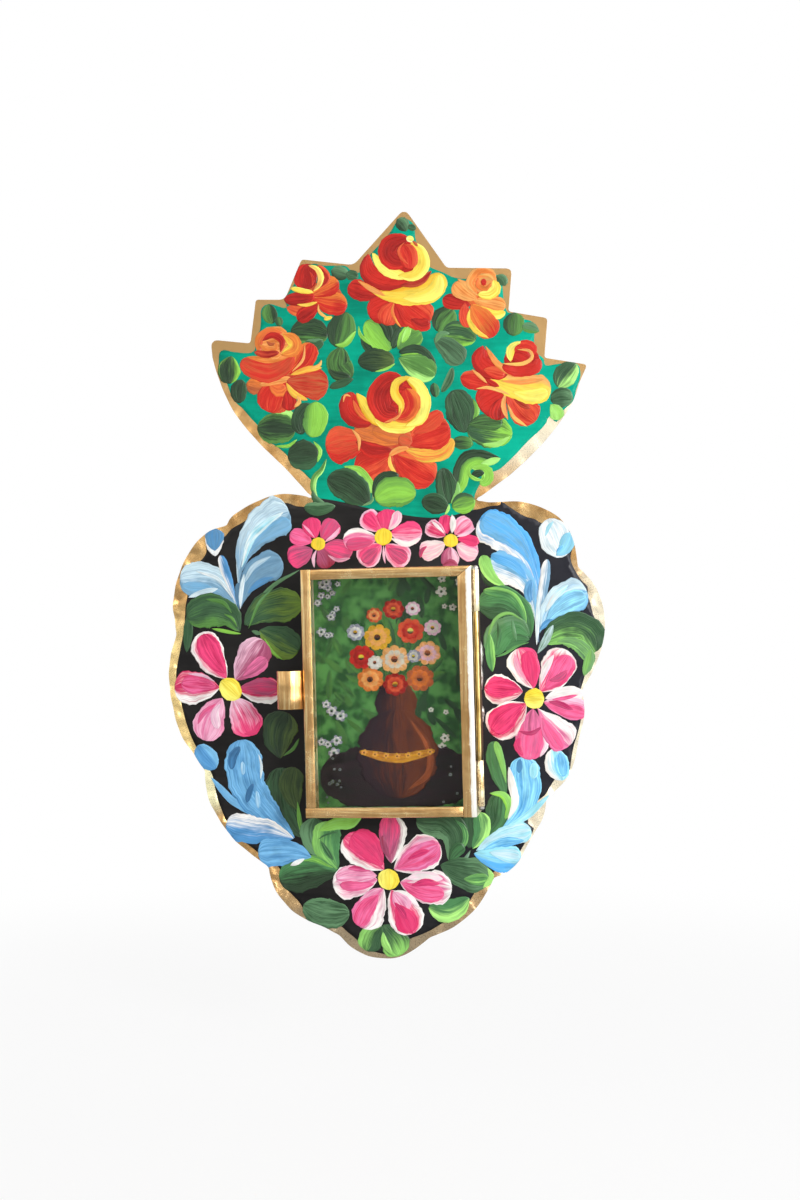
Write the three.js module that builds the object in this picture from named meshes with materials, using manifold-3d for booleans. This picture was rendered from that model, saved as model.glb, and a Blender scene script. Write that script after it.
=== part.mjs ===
// Heart nicho: a flat sheet-metal heart with a stepped crown, and a shallow box with a glazed door.
// Millimetres, +Z up, the front faces -Y, and the back of the plate lies on the wall at Y = 0.
// The origin is on the back of the plate, behind the middle of the box.
import * as THREE from 'three';
import { mergeVertices } from 'three/addons/utils/BufferGeometryUtils.js';
import Module from 'manifold-3d';

const wasm = await Module();
wasm.setup();

// Driving dimensions of the plate
const PLATE_SHEET = 0.5;
const EDGE_STEP = 2.2; // distance between the points of a curved edge
const CUT_STEP = 7; // the same along the straight cuts of the crown
const FIELD_STEP = 6.5; // distance between the points inside the plate
const EDGE_ROWS = [1.9, 4.4]; // rows of points that follow the edge, this far inside it
const DENT_PITCH = 8.4; // hammered dents along the curved edges
const DENT_DEPTH = 0.8;
const DENT_REACH = 6.5; // how far a dent runs in from the edge
const MOUNT_PAD = 18; // reach of the plain flat triangle round the origin
const FLAT_MARGIN = 0.5; // the sheet stays flat this far round the box and its solder
const RISE_MARGIN = 3; // and has its full relief from here outwards

// Driving dimensions of the box, which sits slightly askew on the plate
const BOX_TILT = THREE.MathUtils.degToRad(1.5);
const BOX_WIDTH = 60;
const BOX_HEIGHT = 87;
const BOX_DEPTH = 17.6;
const BOX_SHEET = 0.5;
const HEM_DEPTH = 4; // doubled edge round the mouth of the box
const CORNER_TAB = 7; // soldered flap inside each corner of the box
const CARD_THICKNESS = 0.4;

// Driving dimensions of the door
const DOOR_THICKNESS = 3.4;
const DOOR_SHEET = 0.45;
const DOOR_FACE = 3.6; // width of the front lip of a channel
const HINGE_SIDE_FACE = 4.6; // the same on the hinge side
const DOOR_BACK_LIP = 2.6;
const DOOR_BEND = 1; // outer radius of the front bend
const GLASS_THICKNESS = 2;

// Driving dimensions of the hinge
const PIN_RADIUS = 0.65;
const PIN_HEAD_RADIUS = 1.1;
const PIN_HEAD_LENGTH = 1.2;
const KNUCKLE_SHEET = 0.4;
const BOX_LEAF = 8; // flat tail of a knuckle on the box's side
const KNUCKLE_WRAP = 0.64 * Math.PI; // where the roll ends, from its far side
const UPPER_KNUCKLE = 14.4;
const LOWER_KNUCKLE = 15.8;
const HINGE_TOP_INSET = 1.4; // from the top of the door to the upper knuckle
const HINGE_BOTTOM_INSET = 3.4;

// Driving dimensions of the pull, the hanger and the solder
const PULL_HEIGHT = 13.4;
const PULL_MIDDLE = 1.6; // above the middle of the door
const PULL_SHEET = 0.4;
const PULL_ROLL = 4.6; // outer radius of the rolled strip
const PULL_CURL = 1.08 * Math.PI; // how far the strip is rolled
const PULL_FORWARD = 1.8; // from the back of the door to the middle of the roll
const WIRE_RADIUS = 0.8;
const LOOP_WIDTH = 9.6; // between the middles of the wire's legs
const LOOP_LEG = 7;
const LOOP_RISE = 13;
const LOOP_LEAN = THREE.MathUtils.degToRad(20);
const LOOP_FOOT = new THREE.Vector3(2, 0, 128);
const BLOB_RADIUS = 3.3;
const BLOB_LENGTH = 3.6; // half the length of a blob, along the wire
const BLOB_HEIGHT = 2.5;
const BLOB_PLACE = 2.9; // from the end of the wire to the middle of its blob
const BEAD_RADIUS = 1.7;

// Named clearances
const SOLDER_GAP = 0.15; // between pieces that are soldered or laid together
const TURNING_GAP = 0.15; // round the pin and between the knuckles
const DOOR_GAP = 0.3; // between the closed door and the mouth of the box
const GLASS_GAP = 0.25;
const CARD_GAP = 0.4;

// Places that follow from the sizes above, in the box's own directions
const BOX_BACK = -PLATE_SHEET - SOLDER_GAP;
const BOX_MOUTH = BOX_BACK - BOX_DEPTH;
const DOOR_BACK = BOX_MOUTH - DOOR_GAP;
const DOOR_FRONT = DOOR_BACK - DOOR_THICKNESS;
const HALF_WIDTH = BOX_WIDTH / 2;
const HALF_HEIGHT = BOX_HEIGHT / 2;
const KNUCKLE_BORE = PIN_RADIUS + TURNING_GAP;
const KNUCKLE_RADIUS = KNUCKLE_BORE + KNUCKLE_SHEET;
const PIN_X = HALF_WIDTH + SOLDER_GAP + KNUCKLE_RADIUS;
const PIN_Y = DOOR_BACK;
const HINGE_TOP = HALF_HEIGHT - HINGE_TOP_INSET;
const HINGE_BOTTOM = -HALF_HEIGHT + HINGE_BOTTOM_INSET;

// The edge of the plate in [x, z], clockwise from the crown's left tip as seen from the front.
// The crown's top is cut in straight steps, and each corner has its own radius: [x, z, radius].
const CROWN_STEPS = [
  [-67.9, 121, 0], [-68.6, 127.5, 3], [-53.7, 125.8, 1.2], [-51.7, 141.7, 1], [-41, 141.4, 2],
  [-34.7, 155.9, 1], [-15.6, 153.3, 2], [3, 173.2, 3], [18.2, 151.4, 1.2], [41.6, 150.5, 2],
  [40.4, 135.2, 1], [54.3, 132.5, 1.2], [53.2, 118.4, 1], [68.4, 115.7, 1.4], [65.6, 109.5, 0],
];
// The crown's right flank, the scalloped lobes of the heart one by one, and the crown's left flank.
const CURVED_EDGES = [
  [[65.6, 109.5], [63.5, 103.2], [55.2, 90.9], [42.5, 78.2], [34.5, 72.2], [29, 68.2]],
  [[29, 68.2], [33, 67.2], [44.5, 67.3], [52.5, 65], [59, 61], [63.2, 54.2], [65.2, 44]],
  [[65.2, 44], [70.6, 38], [73.9, 30], [74.4, 20], [71, 8.6], [66.6, 0.4]],
  [[66.6, 0.4], [67.4, -8], [65.4, -17], [63.8, -25], [61.2, -31], [54.1, -38.4]],
  [[54.1, -38.4], [52.8, -45], [49.4, -51], [46.4, -56.5]],
  [[46.4, -56.5], [43.8, -61.2], [40, -64.8], [35.4, -66.9]],
  [[35.4, -66.9], [33, -71.5], [28.8, -78], [20.6, -85], [12.4, -88.8]],
  [[12.4, -88.8], [7.6, -92.6], [2, -95.9], [-4.1, -96.9], [-11.5, -95.7], [-17, -92.6], [-20.8, -89]],
  [[-20.8, -89], [-24.8, -86.9], [-36.2, -81.9], [-42.4, -76], [-45.6, -70.4], [-46.9, -64.9]],
  [[-46.9, -64.9], [-51.2, -61.8], [-59.2, -55.6], [-64.8, -48.6], [-69.4, -40], [-70.8, -30.2]],
  [[-70.8, -30.2], [-74.6, -24.4], [-79.6, -17.2], [-82.8, -6.6], [-84.2, 4], [-83.6, 11.4], [-81.4, 19.6]],
  [[-81.4, 19.6], [-82, 25], [-82.7, 29.6], [-81, 40], [-76, 50.6], [-69.8, 56.9], [-62.6, 59.6]],
  [[-62.6, 59.6], [-60.6, 62.6], [-52, 67.8], [-43, 70.7], [-36, 70.4], [-30.9, 69.4]],
  [[-30.9, 69.4], [-40.4, 79.8], [-50.8, 89.9], [-60, 101.3], [-65.2, 112.4], [-67.9, 121]],
];
// Shallow drops pressed into the plate from behind: [x, z, length, width, turn in degrees].
const PRESSED_DROPS = [
  [-67, 25, 10, 6, 30], [-58, -25, 11, 6, 10], [39, 24, 9, 5, -15], [61.5, -7, 8, 5, 60],
  [47, -26, 9, 6, 0], [11.5, -69, 8, 5, 80], [3.5, -79.5, 8, 5, 25],
];
const DROP_DEPTH = 0.9;

// Samples of a smooth curve through points, about one step apart, without the last point.
function smoothRun(points, step) {
  const places = points.map(([x, z]) => new THREE.Vector3(x, 0, z));
  const curve = new THREE.CatmullRomCurve3(places, false, 'centripetal');
  const count = Math.max(2, Math.round(curve.getLength() / step));
  return curve.getSpacedPoints(count).slice(0, -1).map((point) => [point.x, point.z]);
}

// Samples of a chain of straight cuts with rounded corners, without the last point.
function steppedRun(corners, step) {
  const run = [];
  let from = new THREE.Vector2(corners[0][0], corners[0][1]);
  for (let index = 1; index < corners.length; index += 1) {
    const [x, z, radius] = corners[index];
    const corner = new THREE.Vector2(x, z);
    const after = corners[index + 1];
    const back = from.clone().sub(corner).setLength(radius);
    const entry = corner.clone().add(back);
    const count = Math.max(1, Math.round(from.distanceTo(entry) / step));
    for (let part = 0; part < count; part += 1) {
      const point = from.clone().lerp(entry, part / count);
      run.push([point.x, point.y]);
    }
    if (after) {
      const ahead = new THREE.Vector2(after[0], after[1]).sub(corner).setLength(radius);
      const exit = corner.clone().add(ahead);
      const bend = new THREE.QuadraticBezierCurve(entry, corner, exit);
      bend.getPoints(3).slice(0, -1).forEach((point) => run.push([point.x, point.y]));
      from = exit;
    }
  }
  return run;
}

// The whole edge as points that know how far along they lie and how strongly they are hammered.
function plateEdge() {
  const steps = steppedRun(CROWN_STEPS, CUT_STEP).map(([x, z]) => ({ x, z, hammered: 0 }));
  const curves = CURVED_EDGES.flatMap((points) => smoothRun(points, EDGE_STEP));
  const edge = steps.concat(curves.map(([x, z]) => ({ x, z, hammered: 1 })));
  let along = 0;
  edge.forEach((point, index) => {
    point.along = along;
    const next = edge[(index + 1) % edge.length];
    along += Math.hypot(next.x - point.x, next.z - point.z);
  });
  return edge;
}

const EDGE = plateEdge();

// The nearest place on the edge to a point: its distance, its place along the edge and its hammering.
function nearestEdge(x, z) {
  let best = { distance: Infinity };
  EDGE.forEach((a, index) => {
    const b = EDGE[(index + 1) % EDGE.length];
    const dx = b.x - a.x;
    const dz = b.z - a.z;
    const share = THREE.MathUtils.clamp(((x - a.x) * dx + (z - a.z) * dz) / (dx * dx + dz * dz), 0, 1);
    const distance = Math.hypot(x - a.x - share * dx, z - a.z - share * dz);
    if (distance < best.distance) {
      const along = a.along + share * Math.hypot(dx, dz);
      const hammered = THREE.MathUtils.lerp(a.hammered, b.hammered, share);
      best = { distance, along, hammered };
    }
  });
  return best;
}

function insideEdge(x, z) {
  let inside = false;
  EDGE.forEach((a, index) => {
    const b = EDGE[(index + 1) % EDGE.length];
    if ((a.z > z) !== (b.z > z) && x < a.x + ((z - a.z) * (b.x - a.x)) / (b.z - a.z)) {
      inside = !inside;
    }
  });
  return inside;
}

// How far the sheet is raised towards the front: the dents of the edge and the pressed drops.
function dropShape(x, z, [centreX, centreZ, length, width, turn]) {
  const angle = THREE.MathUtils.degToRad(turn);
  const along = (x - centreX) * Math.sin(angle) + (z - centreZ) * Math.cos(angle);
  const across = (x - centreX) * Math.cos(angle) - (z - centreZ) * Math.sin(angle);
  const taper = 1 - 0.5 * (along / length);
  const reach = Math.hypot((2 * along) / length, (2 * across) / (width * taper));
  return reach >= 1 ? 0 : (1 - reach * reach) ** 2;
}

function plateRelief(x, z) {
  const edge = nearestEdge(x, z);
  const fade = Math.max(0, 1 - edge.distance / DENT_REACH);
  const wave = 0.5 - 0.5 * Math.cos((2 * Math.PI * edge.along) / DENT_PITCH);
  const dent = DENT_DEPTH * wave * fade * fade * edge.hammered;
  const drops = PRESSED_DROPS.reduce((sum, drop) => sum + DROP_DEPTH * dropShape(x, z, drop), 0);
  return Math.max(dent, drops) * underBox(x, z);
}

// Zero under the box and its solder, so that they lie on flat metal, and one away from them.
function underBox(x, z) {
  const sin = Math.sin(BOX_TILT);
  const cos = Math.cos(BOX_TILT);
  const outX = Math.abs(x * cos + z * sin) - HALF_WIDTH - BEAD_RADIUS;
  const outZ = Math.abs(z * cos - x * sin) - HALF_HEIGHT - BEAD_RADIUS;
  return THREE.MathUtils.smoothstep(Math.max(outX, outZ), FLAT_MARGIN, RISE_MARGIN);
}

// Points inside the plate: two rows that follow the edge, rings round the drops, and an even field.
function fieldPoints() {
  const rows = EDGE_ROWS.flatMap((inset) => EDGE.map((point, index) => {
    const before = EDGE[(index + EDGE.length - 1) % EDGE.length];
    const after = EDGE[(index + 1) % EDGE.length];
    const length = Math.hypot(after.x - before.x, after.z - before.z);
    return {
      inset,
      x: point.x + (inset * (after.z - before.z)) / length,
      z: point.z - (inset * (after.x - before.x)) / length,
    };
  }));
  const points = [];
  const clear = (x, z, room) => points.every(([px, pz]) => Math.hypot(px - x, pz - z) > room);
  rows.forEach(({ inset, x, z }) => {
    if (insideEdge(x, z) && nearestEdge(x, z).distance > 0.8 * inset && clear(x, z, 0.55 * EDGE_STEP)) {
      points.push([x, z]);
    }
  });
  PRESSED_DROPS.forEach(([x, z, length, width, turn]) => {
    const angle = THREE.MathUtils.degToRad(turn);
    [0, 0.3, 0.55].forEach((share) => {
      const count = share === 0 ? 1 : 8;
      for (let step = 0; step < count; step += 1) {
        const around = (2 * Math.PI * (step + share)) / count;
        const along = share * length * Math.cos(around);
        const across = share * width * Math.sin(around);
        const px = x + along * Math.sin(angle) + across * Math.cos(angle);
        const pz = z + along * Math.cos(angle) - across * Math.sin(angle);
        if (insideEdge(px, pz) && nearestEdge(px, pz).distance > 1 && clear(px, pz, 0.9)) {
          points.push([px, pz]);
        }
      }
    });
  });
  for (let corner = 0; corner < 3; corner += 1) {
    const around = (2 * Math.PI * corner) / 3 + 0.4;
    points.push([MOUNT_PAD * Math.sin(around), MOUNT_PAD * Math.cos(around)]);
  }
  const rise = FIELD_STEP * Math.sqrt(0.75);
  for (let row = -40; row <= 40; row += 1) {
    for (let column = -30; column <= 30; column += 1) {
      const x = (column + (row % 2 === 0 ? 0 : 0.5)) * FIELD_STEP;
      const z = row * rise;
      const away = Math.hypot(x, z) > MOUNT_PAD + 0.5 * FIELD_STEP;
      const free = away && insideEdge(x, z) && nearestEdge(x, z).distance > DENT_REACH;
      if (free && clear(x, z, 0.6 * FIELD_STEP)) {
        points.push([x, z]);
      }
    }
  }
  return points;
}

// A triangle with its circumscribed circle.
function circled(points, a, b, c) {
  const [ax, az] = points[a];
  const [bx, bz] = points[b];
  const [cx, cz] = points[c];
  const area = 2 * ((bx - ax) * (cz - az) - (bz - az) * (cx - ax));
  const ab = (bx - ax) ** 2 + (bz - az) ** 2;
  const ac = (cx - ax) ** 2 + (cz - az) ** 2;
  const x = ((cz - az) * ab - (bz - az) * ac) / area;
  const z = ((bx - ax) * ac - (cx - ax) * ab) / area;
  return { corners: area > 0 ? [a, b, c] : [a, c, b], x: ax + x, z: az + z, reach: x * x + z * z };
}

// Delaunay triangles of points, made by adding one point after another, kept where they lie in the plate.
function triangulate(points) {
  const far = 20000;
  const all = [...points, [-far, -far], [far, -far], [0, far]];
  let triangles = [circled(all, points.length, points.length + 1, points.length + 2)];
  points.forEach(([x, z], index) => {
    const rim = new Map();
    triangles = triangles.filter((triangle) => {
      if ((x - triangle.x) ** 2 + (z - triangle.z) ** 2 >= triangle.reach) {
        return true;
      }
      triangle.corners.forEach((from, side) => {
        const to = triangle.corners[(side + 1) % 3];
        const key = from < to ? `${from} ${to}` : `${to} ${from}`;
        if (!rim.delete(key)) {
          rim.set(key, [from, to]);
        }
      });
      return false;
    });
    rim.forEach(([from, to]) => triangles.push(circled(all, from, to, index)));
  });
  return triangles.map((triangle) => triangle.corners).filter((corners) => {
    if (Math.max(...corners) >= points.length) {
      return false;
    }
    const middle = [0, 1].map((axis) => corners.reduce((sum, corner) => sum + points[corner][axis] / 3, 0));
    return insideEdge(middle[0], middle[1]);
  });
}

// The plate: one sheet of even thickness that follows the relief on both faces.
function plateGeometry() {
  const points = EDGE.map(({ x, z }) => [x, z]).concat(fieldPoints());
  const triangles = triangulate(points);
  const relief = points.map(([x, z]) => plateRelief(x, z));
  const count = points.length;
  const position = [];
  [PLATE_SHEET, 0].forEach((depth) => {
    points.forEach(([x, z], index) => position.push(x, -depth - relief[index], z));
  });
  const index = [];
  const open = new Map();
  triangles.forEach((corners) => {
    const [a, b, c] = corners;
    index.push(a, b, c, a + count, c + count, b + count);
    corners.forEach((from, side) => {
      const to = corners[(side + 1) % 3];
      if (!open.delete(`${to} ${from}`)) {
        open.set(`${from} ${to}`, [from, to]);
      }
    });
  });
  open.forEach(([from, to]) => {
    index.push(to, from, from + count, to, from + count, to + count);
  });
  const geometry = new THREE.BufferGeometry();
  geometry.setAttribute('position', new THREE.Float32BufferAttribute(position, 3));
  geometry.setIndex(index);
  return geometry;
}

// Joining and cutting
function bare(geometry) {
  geometry.deleteAttribute('normal');
  geometry.deleteAttribute('uv');
  return mergeVertices(geometry, 1e-4);
}

function solid(geometry) {
  const welded = bare(geometry);
  return new wasm.Manifold(new wasm.Mesh({
    numProp: 3,
    vertProperties: Float32Array.from(welded.attributes.position.array),
    triVerts: Uint32Array.from(welded.index.array),
  }));
}

function geometryOf(manifold) {
  const mesh = manifold.getMesh();
  const geometry = new THREE.BufferGeometry();
  geometry.setAttribute('position', new THREE.BufferAttribute(mesh.vertProperties, 3));
  geometry.setIndex(new THREE.BufferAttribute(mesh.triVerts, 1));
  return geometry;
}

// A block between two opposite corners.
function block([x0, y0, z0], [x1, y1, z1]) {
  const geometry = new THREE.BoxGeometry(x1 - x0, y1 - y0, z1 - z0);
  geometry.translate((x0 + x1) / 2, (y0 + y1) / 2, (z0 + z1) / 2);
  return geometry;
}

// A geometry turned so that its own axes lie along three given ones, and kept facing out.
function placed(geometry, across, depth, along, origin) {
  const matrix = new THREE.Matrix4().makeBasis(across, depth, along).setPosition(origin);
  const turned = bare(geometry).applyMatrix4(matrix);
  if (matrix.determinant() < 0) {
    const corners = turned.index.array;
    for (let index = 0; index < corners.length; index += 3) {
      [corners[index], corners[index + 1]] = [corners[index + 1], corners[index]];
    }
  }
  return turned;
}

function extruded(shape, length, curveSegments = 5) {
  return new THREE.ExtrudeGeometry(shape, { depth: length, bevelEnabled: false, curveSegments });
}

// The box: a folded tray with a hemmed mouth and a soldered flap in each corner.
function trayGeometry() {
  const ring = (outer, thickness, front, back) => {
    const outside = block([-outer[0], front, -outer[1]], [outer[0], back, outer[1]]);
    const insideHalf = outer.map((reach) => reach - thickness);
    const inside = block([-insideHalf[0], front - 1, -insideHalf[1]], [insideHalf[0], back + 1, insideHalf[1]]);
    return solid(outside).subtract(solid(inside));
  };
  const outer = [HALF_WIDTH, HALF_HEIGHT];
  const walls = ring(outer, BOX_SHEET, BOX_MOUTH, BOX_BACK);
  const hem = ring(outer, 2 * BOX_SHEET, BOX_MOUTH, BOX_MOUTH + HEM_DEPTH);
  const floor = solid(block([-outer[0], BOX_BACK - BOX_SHEET, -outer[1]], [outer[0], BOX_BACK, outer[1]]));
  let tray = walls.add(hem).add(floor);
  [-1, 1].forEach((sideX) => [-1, 1].forEach((sideZ) => {
    const x = sideX * (HALF_WIDTH - BOX_SHEET / 2);
    const z = sideZ * (HALF_HEIGHT - BOX_SHEET / 2);
    const tab = block(
      [Math.min(x, x - sideX * CORNER_TAB), BOX_MOUTH + HEM_DEPTH, Math.min(z, z - sideZ * 1.5 * BOX_SHEET)],
      [Math.max(x, x - sideX * CORNER_TAB), BOX_BACK - BOX_SHEET / 2, Math.max(z, z - sideZ * 1.5 * BOX_SHEET)],
    );
    tray = tray.add(solid(tab));
  }));
  return geometryOf(tray);
}

function cardGeometry() {
  const back = BOX_BACK - BOX_SHEET - SOLDER_GAP;
  const halfX = HALF_WIDTH - BOX_SHEET - CARD_GAP;
  const halfZ = HALF_HEIGHT - 2 * BOX_SHEET - CARD_GAP;
  return bare(block([-halfX, back - CARD_THICKNESS, -halfZ], [halfX, back, halfZ]));
}

// The section of a door channel: x runs in from the door's outer edge, y runs back from its face.
function channelSection(face) {
  const inner = DOOR_BEND - DOOR_SHEET;
  const rear = DOOR_THICKNESS - DOOR_SHEET;
  const section = new THREE.Shape();
  section.moveTo(face, 0);
  section.lineTo(DOOR_BEND, 0);
  section.absarc(DOOR_BEND, DOOR_BEND, DOOR_BEND, 1.5 * Math.PI, Math.PI, true);
  section.lineTo(0, DOOR_THICKNESS);
  section.lineTo(DOOR_BACK_LIP, DOOR_THICKNESS);
  section.lineTo(DOOR_BACK_LIP, rear);
  section.lineTo(DOOR_SHEET, rear);
  section.lineTo(DOOR_SHEET, DOOR_BEND);
  section.absarc(DOOR_BEND, DOOR_BEND, inner, Math.PI, 1.5 * Math.PI, false);
  section.lineTo(face, DOOR_SHEET);
  section.closePath();
  return section;
}

// The four channels of the door. The left one runs up past the top one, which meets the right one in a mitre.
// The right one runs down past the bottom one, and the bottom one runs under the left one.
function channelGeometries() {
  const axisX = new THREE.Vector3(1, 0, 0);
  const axisY = new THREE.Vector3(0, 1, 0);
  const axisZ = new THREE.Vector3(0, 0, 1);
  const inwardFromRight = axisX.clone().negate();
  const inwardFromTop = axisZ.clone().negate();
  const channel = (face, length) => extruded(channelSection(face), length);
  const upright = (face, across, edgeX, bottom, top) => placed(
    channel(face, top - bottom), across, axisY, axisZ, new THREE.Vector3(edgeX, DOOR_FRONT, bottom),
  );
  const level = (across, edgeZ, left, right) => placed(
    channel(DOOR_FACE, right - left), across, axisY, axisX, new THREE.Vector3(left, DOOR_FRONT, edgeZ),
  );
  const besideLeft = -HALF_WIDTH + DOOR_FACE + SOLDER_GAP;
  const besideRight = HALF_WIDTH - HINGE_SIDE_FACE - SOLDER_GAP;
  const overBottom = -HALF_HEIGHT + DOOR_FACE + SOLDER_GAP;
  const slant = new THREE.Vector2(HINGE_SIDE_FACE, DOOR_FACE).normalize();
  const corner = HALF_HEIGHT * slant.x - HALF_WIDTH * slant.y;
  const half = SOLDER_GAP / 2;
  const top = solid(level(inwardFromTop, HALF_HEIGHT, besideLeft, HALF_WIDTH));
  const right = solid(upright(HINGE_SIDE_FACE, inwardFromRight, HALF_WIDTH, -HALF_HEIGHT, HALF_HEIGHT));
  return {
    door_channel_left: upright(DOOR_FACE, axisX, -HALF_WIDTH, overBottom, HALF_HEIGHT),
    door_channel_top: geometryOf(top.trimByPlane([-slant.y, 0, slant.x], corner + half)),
    door_channel_right: geometryOf(right.trimByPlane([slant.y, 0, -slant.x], half - corner)),
    door_channel_bottom: level(axisZ, -HALF_HEIGHT, -HALF_WIDTH, besideRight),
  };
}

function glassGeometry() {
  const halfX = HALF_WIDTH - DOOR_SHEET - GLASS_GAP;
  const halfZ = HALF_HEIGHT - DOOR_SHEET - GLASS_GAP;
  const front = DOOR_FRONT + (DOOR_THICKNESS - GLASS_THICKNESS) / 2;
  return bare(block([-halfX, front, -halfZ], [halfX, front + GLASS_THICKNESS, halfZ]));
}

// A rolled knuckle: a strip of tin rolled round the pin, with its flat tail on the piece that it is soldered to.
// A tail of positive length runs back along the box, and one of negative length runs forward along the door.
function knuckleGeometry(tail, bottom, top) {
  const side = Math.sign(tail);
  const rollEnd = -side * KNUCKLE_WRAP;
  const section = new THREE.Shape();
  section.moveTo(-KNUCKLE_RADIUS, tail);
  section.lineTo(-KNUCKLE_RADIUS, 0);
  section.absarc(0, 0, KNUCKLE_RADIUS, Math.PI, -rollEnd, side < 0);
  section.absarc(0, 0, KNUCKLE_BORE, -rollEnd, Math.PI, side > 0);
  section.lineTo(-KNUCKLE_BORE, tail);
  section.closePath();
  const geometry = bare(extruded(section, top - bottom, 14));
  geometry.translate(PIN_X, PIN_Y, bottom);
  return geometry;
}

function knuckleGeometries() {
  const doorTop = HINGE_TOP - UPPER_KNUCKLE - TURNING_GAP;
  const doorBottom = HINGE_BOTTOM + LOWER_KNUCKLE + TURNING_GAP;
  const doorLeaf = DOOR_THICKNESS - DOOR_BEND - TURNING_GAP;
  return {
    box_knuckle_upper: knuckleGeometry(BOX_LEAF, HINGE_TOP - UPPER_KNUCKLE, HINGE_TOP),
    door_knuckle: knuckleGeometry(-doorLeaf, doorBottom, doorTop),
    box_knuckle_lower: knuckleGeometry(BOX_LEAF, HINGE_BOTTOM, HINGE_BOTTOM + LOWER_KNUCKLE),
  };
}

// The hinge pin, with a rounded head formed on each end.
function pinGeometry() {
  const top = HINGE_TOP + TURNING_GAP;
  const bottom = HINGE_BOTTOM - TURNING_GAP;
  const head = (from, direction) => [
    [PIN_RADIUS, from],
    [PIN_HEAD_RADIUS, from],
    [PIN_HEAD_RADIUS, from + direction * 0.5 * PIN_HEAD_LENGTH],
    [0.6 * PIN_HEAD_RADIUS, from + direction * 0.9 * PIN_HEAD_LENGTH],
    [0, from + direction * PIN_HEAD_LENGTH],
  ];
  const profile = head(bottom, -1).reverse().concat(head(top, 1));
  const geometry = new THREE.LatheGeometry(profile.map(([radius, z]) => new THREE.Vector2(radius, z)), 16);
  geometry.rotateX(Math.PI / 2);
  geometry.translate(PIN_X, PIN_Y, 0);
  return bare(geometry);
}

// The pull: a strip rolled forward into half a tube, with its foot on the door's left side.
function pullGeometry() {
  const inner = PULL_ROLL - PULL_SHEET;
  const centreX = -HALF_WIDTH - SOLDER_GAP - PULL_ROLL;
  const centreY = DOOR_BACK - PULL_FORWARD;
  const foot = DOOR_BACK - SOLDER_GAP - centreY;
  const section = new THREE.Shape();
  section.moveTo(PULL_ROLL, foot);
  section.lineTo(PULL_ROLL, 0);
  section.absarc(0, 0, PULL_ROLL, 0, -PULL_CURL, true);
  section.absarc(0, 0, inner, -PULL_CURL, 0, false);
  section.lineTo(inner, foot);
  section.closePath();
  const geometry = bare(extruded(section, PULL_HEIGHT, 16));
  geometry.translate(centreX, centreY, PULL_MIDDLE - PULL_HEIGHT / 2);
  return geometry;
}

// A bead of solder in the seam between the box's side and the plate, made of lumps: [z, half length, fullness].
function beadGeometry(side, lumps) {
  const wall = side * (HALF_WIDTH + SOLDER_GAP);
  const floor = -PLATE_SHEET - SOLDER_GAP;
  let bead = null;
  lumps.forEach(([z, half, fullness]) => {
    const lump = new THREE.SphereGeometry(1, 16, 10);
    lump.scale(fullness * BEAD_RADIUS, fullness * BEAD_RADIUS, half);
    lump.translate(wall, floor, z);
    const piece = solid(lump);
    bead = bead ? bead.add(piece) : piece;
  });
  return geometryOf(bead.trimByPlane([side, 0, 0], side * wall).trimByPlane([0, -1, 0], -floor));
}

const BEADS = {
  solder_bead_right_upper: [1, [[12, 5.6, 1], [4, 5.8, 0.85]]],
  solder_bead_right_lower: [1, [[-8.7, 2.8, 0.95], [-11, 2, 0.75]]],
  solder_bead_left_upper: [-1, [[24, 4.6, 0.95], [28.6, 3, 0.8]]],
  solder_bead_left_lower: [-1, [[-24, 4.4, 1], [-19.6, 3, 0.75]]],
};

// The hanging loop: a wire whose legs lie on the back of the plate, and whose bow leans away from it.
function loopPath() {
  const half = LOOP_WIDTH / 2;
  const lie = SOLDER_GAP + WIRE_RADIUS;
  const lean = (x, height) => new THREE.Vector3(
    LOOP_FOOT.x + x,
    lie + height * Math.sin(LOOP_LEAN),
    LOOP_FOOT.z + LOOP_LEG + height * Math.cos(LOOP_LEAN),
  );
  const leg = (x) => new THREE.Vector3(LOOP_FOOT.x + x, lie, LOOP_FOOT.z);
  const straight = LOOP_RISE - half;
  const bow = [0.15, 0.3, 0.5, 0.7, 0.85].map((share) => {
    const angle = Math.PI * (1 - share);
    return lean(half * Math.cos(angle), straight + half * Math.sin(angle));
  });
  const left = [leg(-half), lean(-half, 0), lean(-half, straight / 2), lean(-half, straight)];
  const right = [lean(half, straight), lean(half, straight / 2), lean(half, 0), leg(half)];
  return new THREE.CatmullRomCurve3([...left, ...bow, ...right], false, 'centripetal');
}

function wireAlong(path, radius, steps) {
  const section = new THREE.Shape().absarc(0, 0, radius, 0, 2 * Math.PI);
  const settings = { extrudePath: path, steps, curveSegments: 8, bevelEnabled: false };
  return new THREE.ExtrudeGeometry(section, settings);
}

// A blob of solder over one leg of the loop.
function blobGeometry(side) {
  const x = LOOP_FOOT.x + (side * LOOP_WIDTH) / 2;
  const z = LOOP_FOOT.z + BLOB_PLACE;
  const dome = new THREE.SphereGeometry(1, 20, 12);
  dome.scale(BLOB_RADIUS, BLOB_HEIGHT, BLOB_LENGTH);
  dome.translate(x, SOLDER_GAP, z);
  const room = wireAlong(loopPath(), WIRE_RADIUS + SOLDER_GAP, 40);
  const end = new THREE.SphereGeometry(WIRE_RADIUS + 2 * SOLDER_GAP, 12, 8);
  end.translate(x, SOLDER_GAP + WIRE_RADIUS, LOOP_FOOT.z);
  const blob = solid(dome).trimByPlane([0, 1, 0], SOLDER_GAP).subtract(solid(room)).subtract(solid(end));
  return geometryOf(blob);
}

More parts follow.
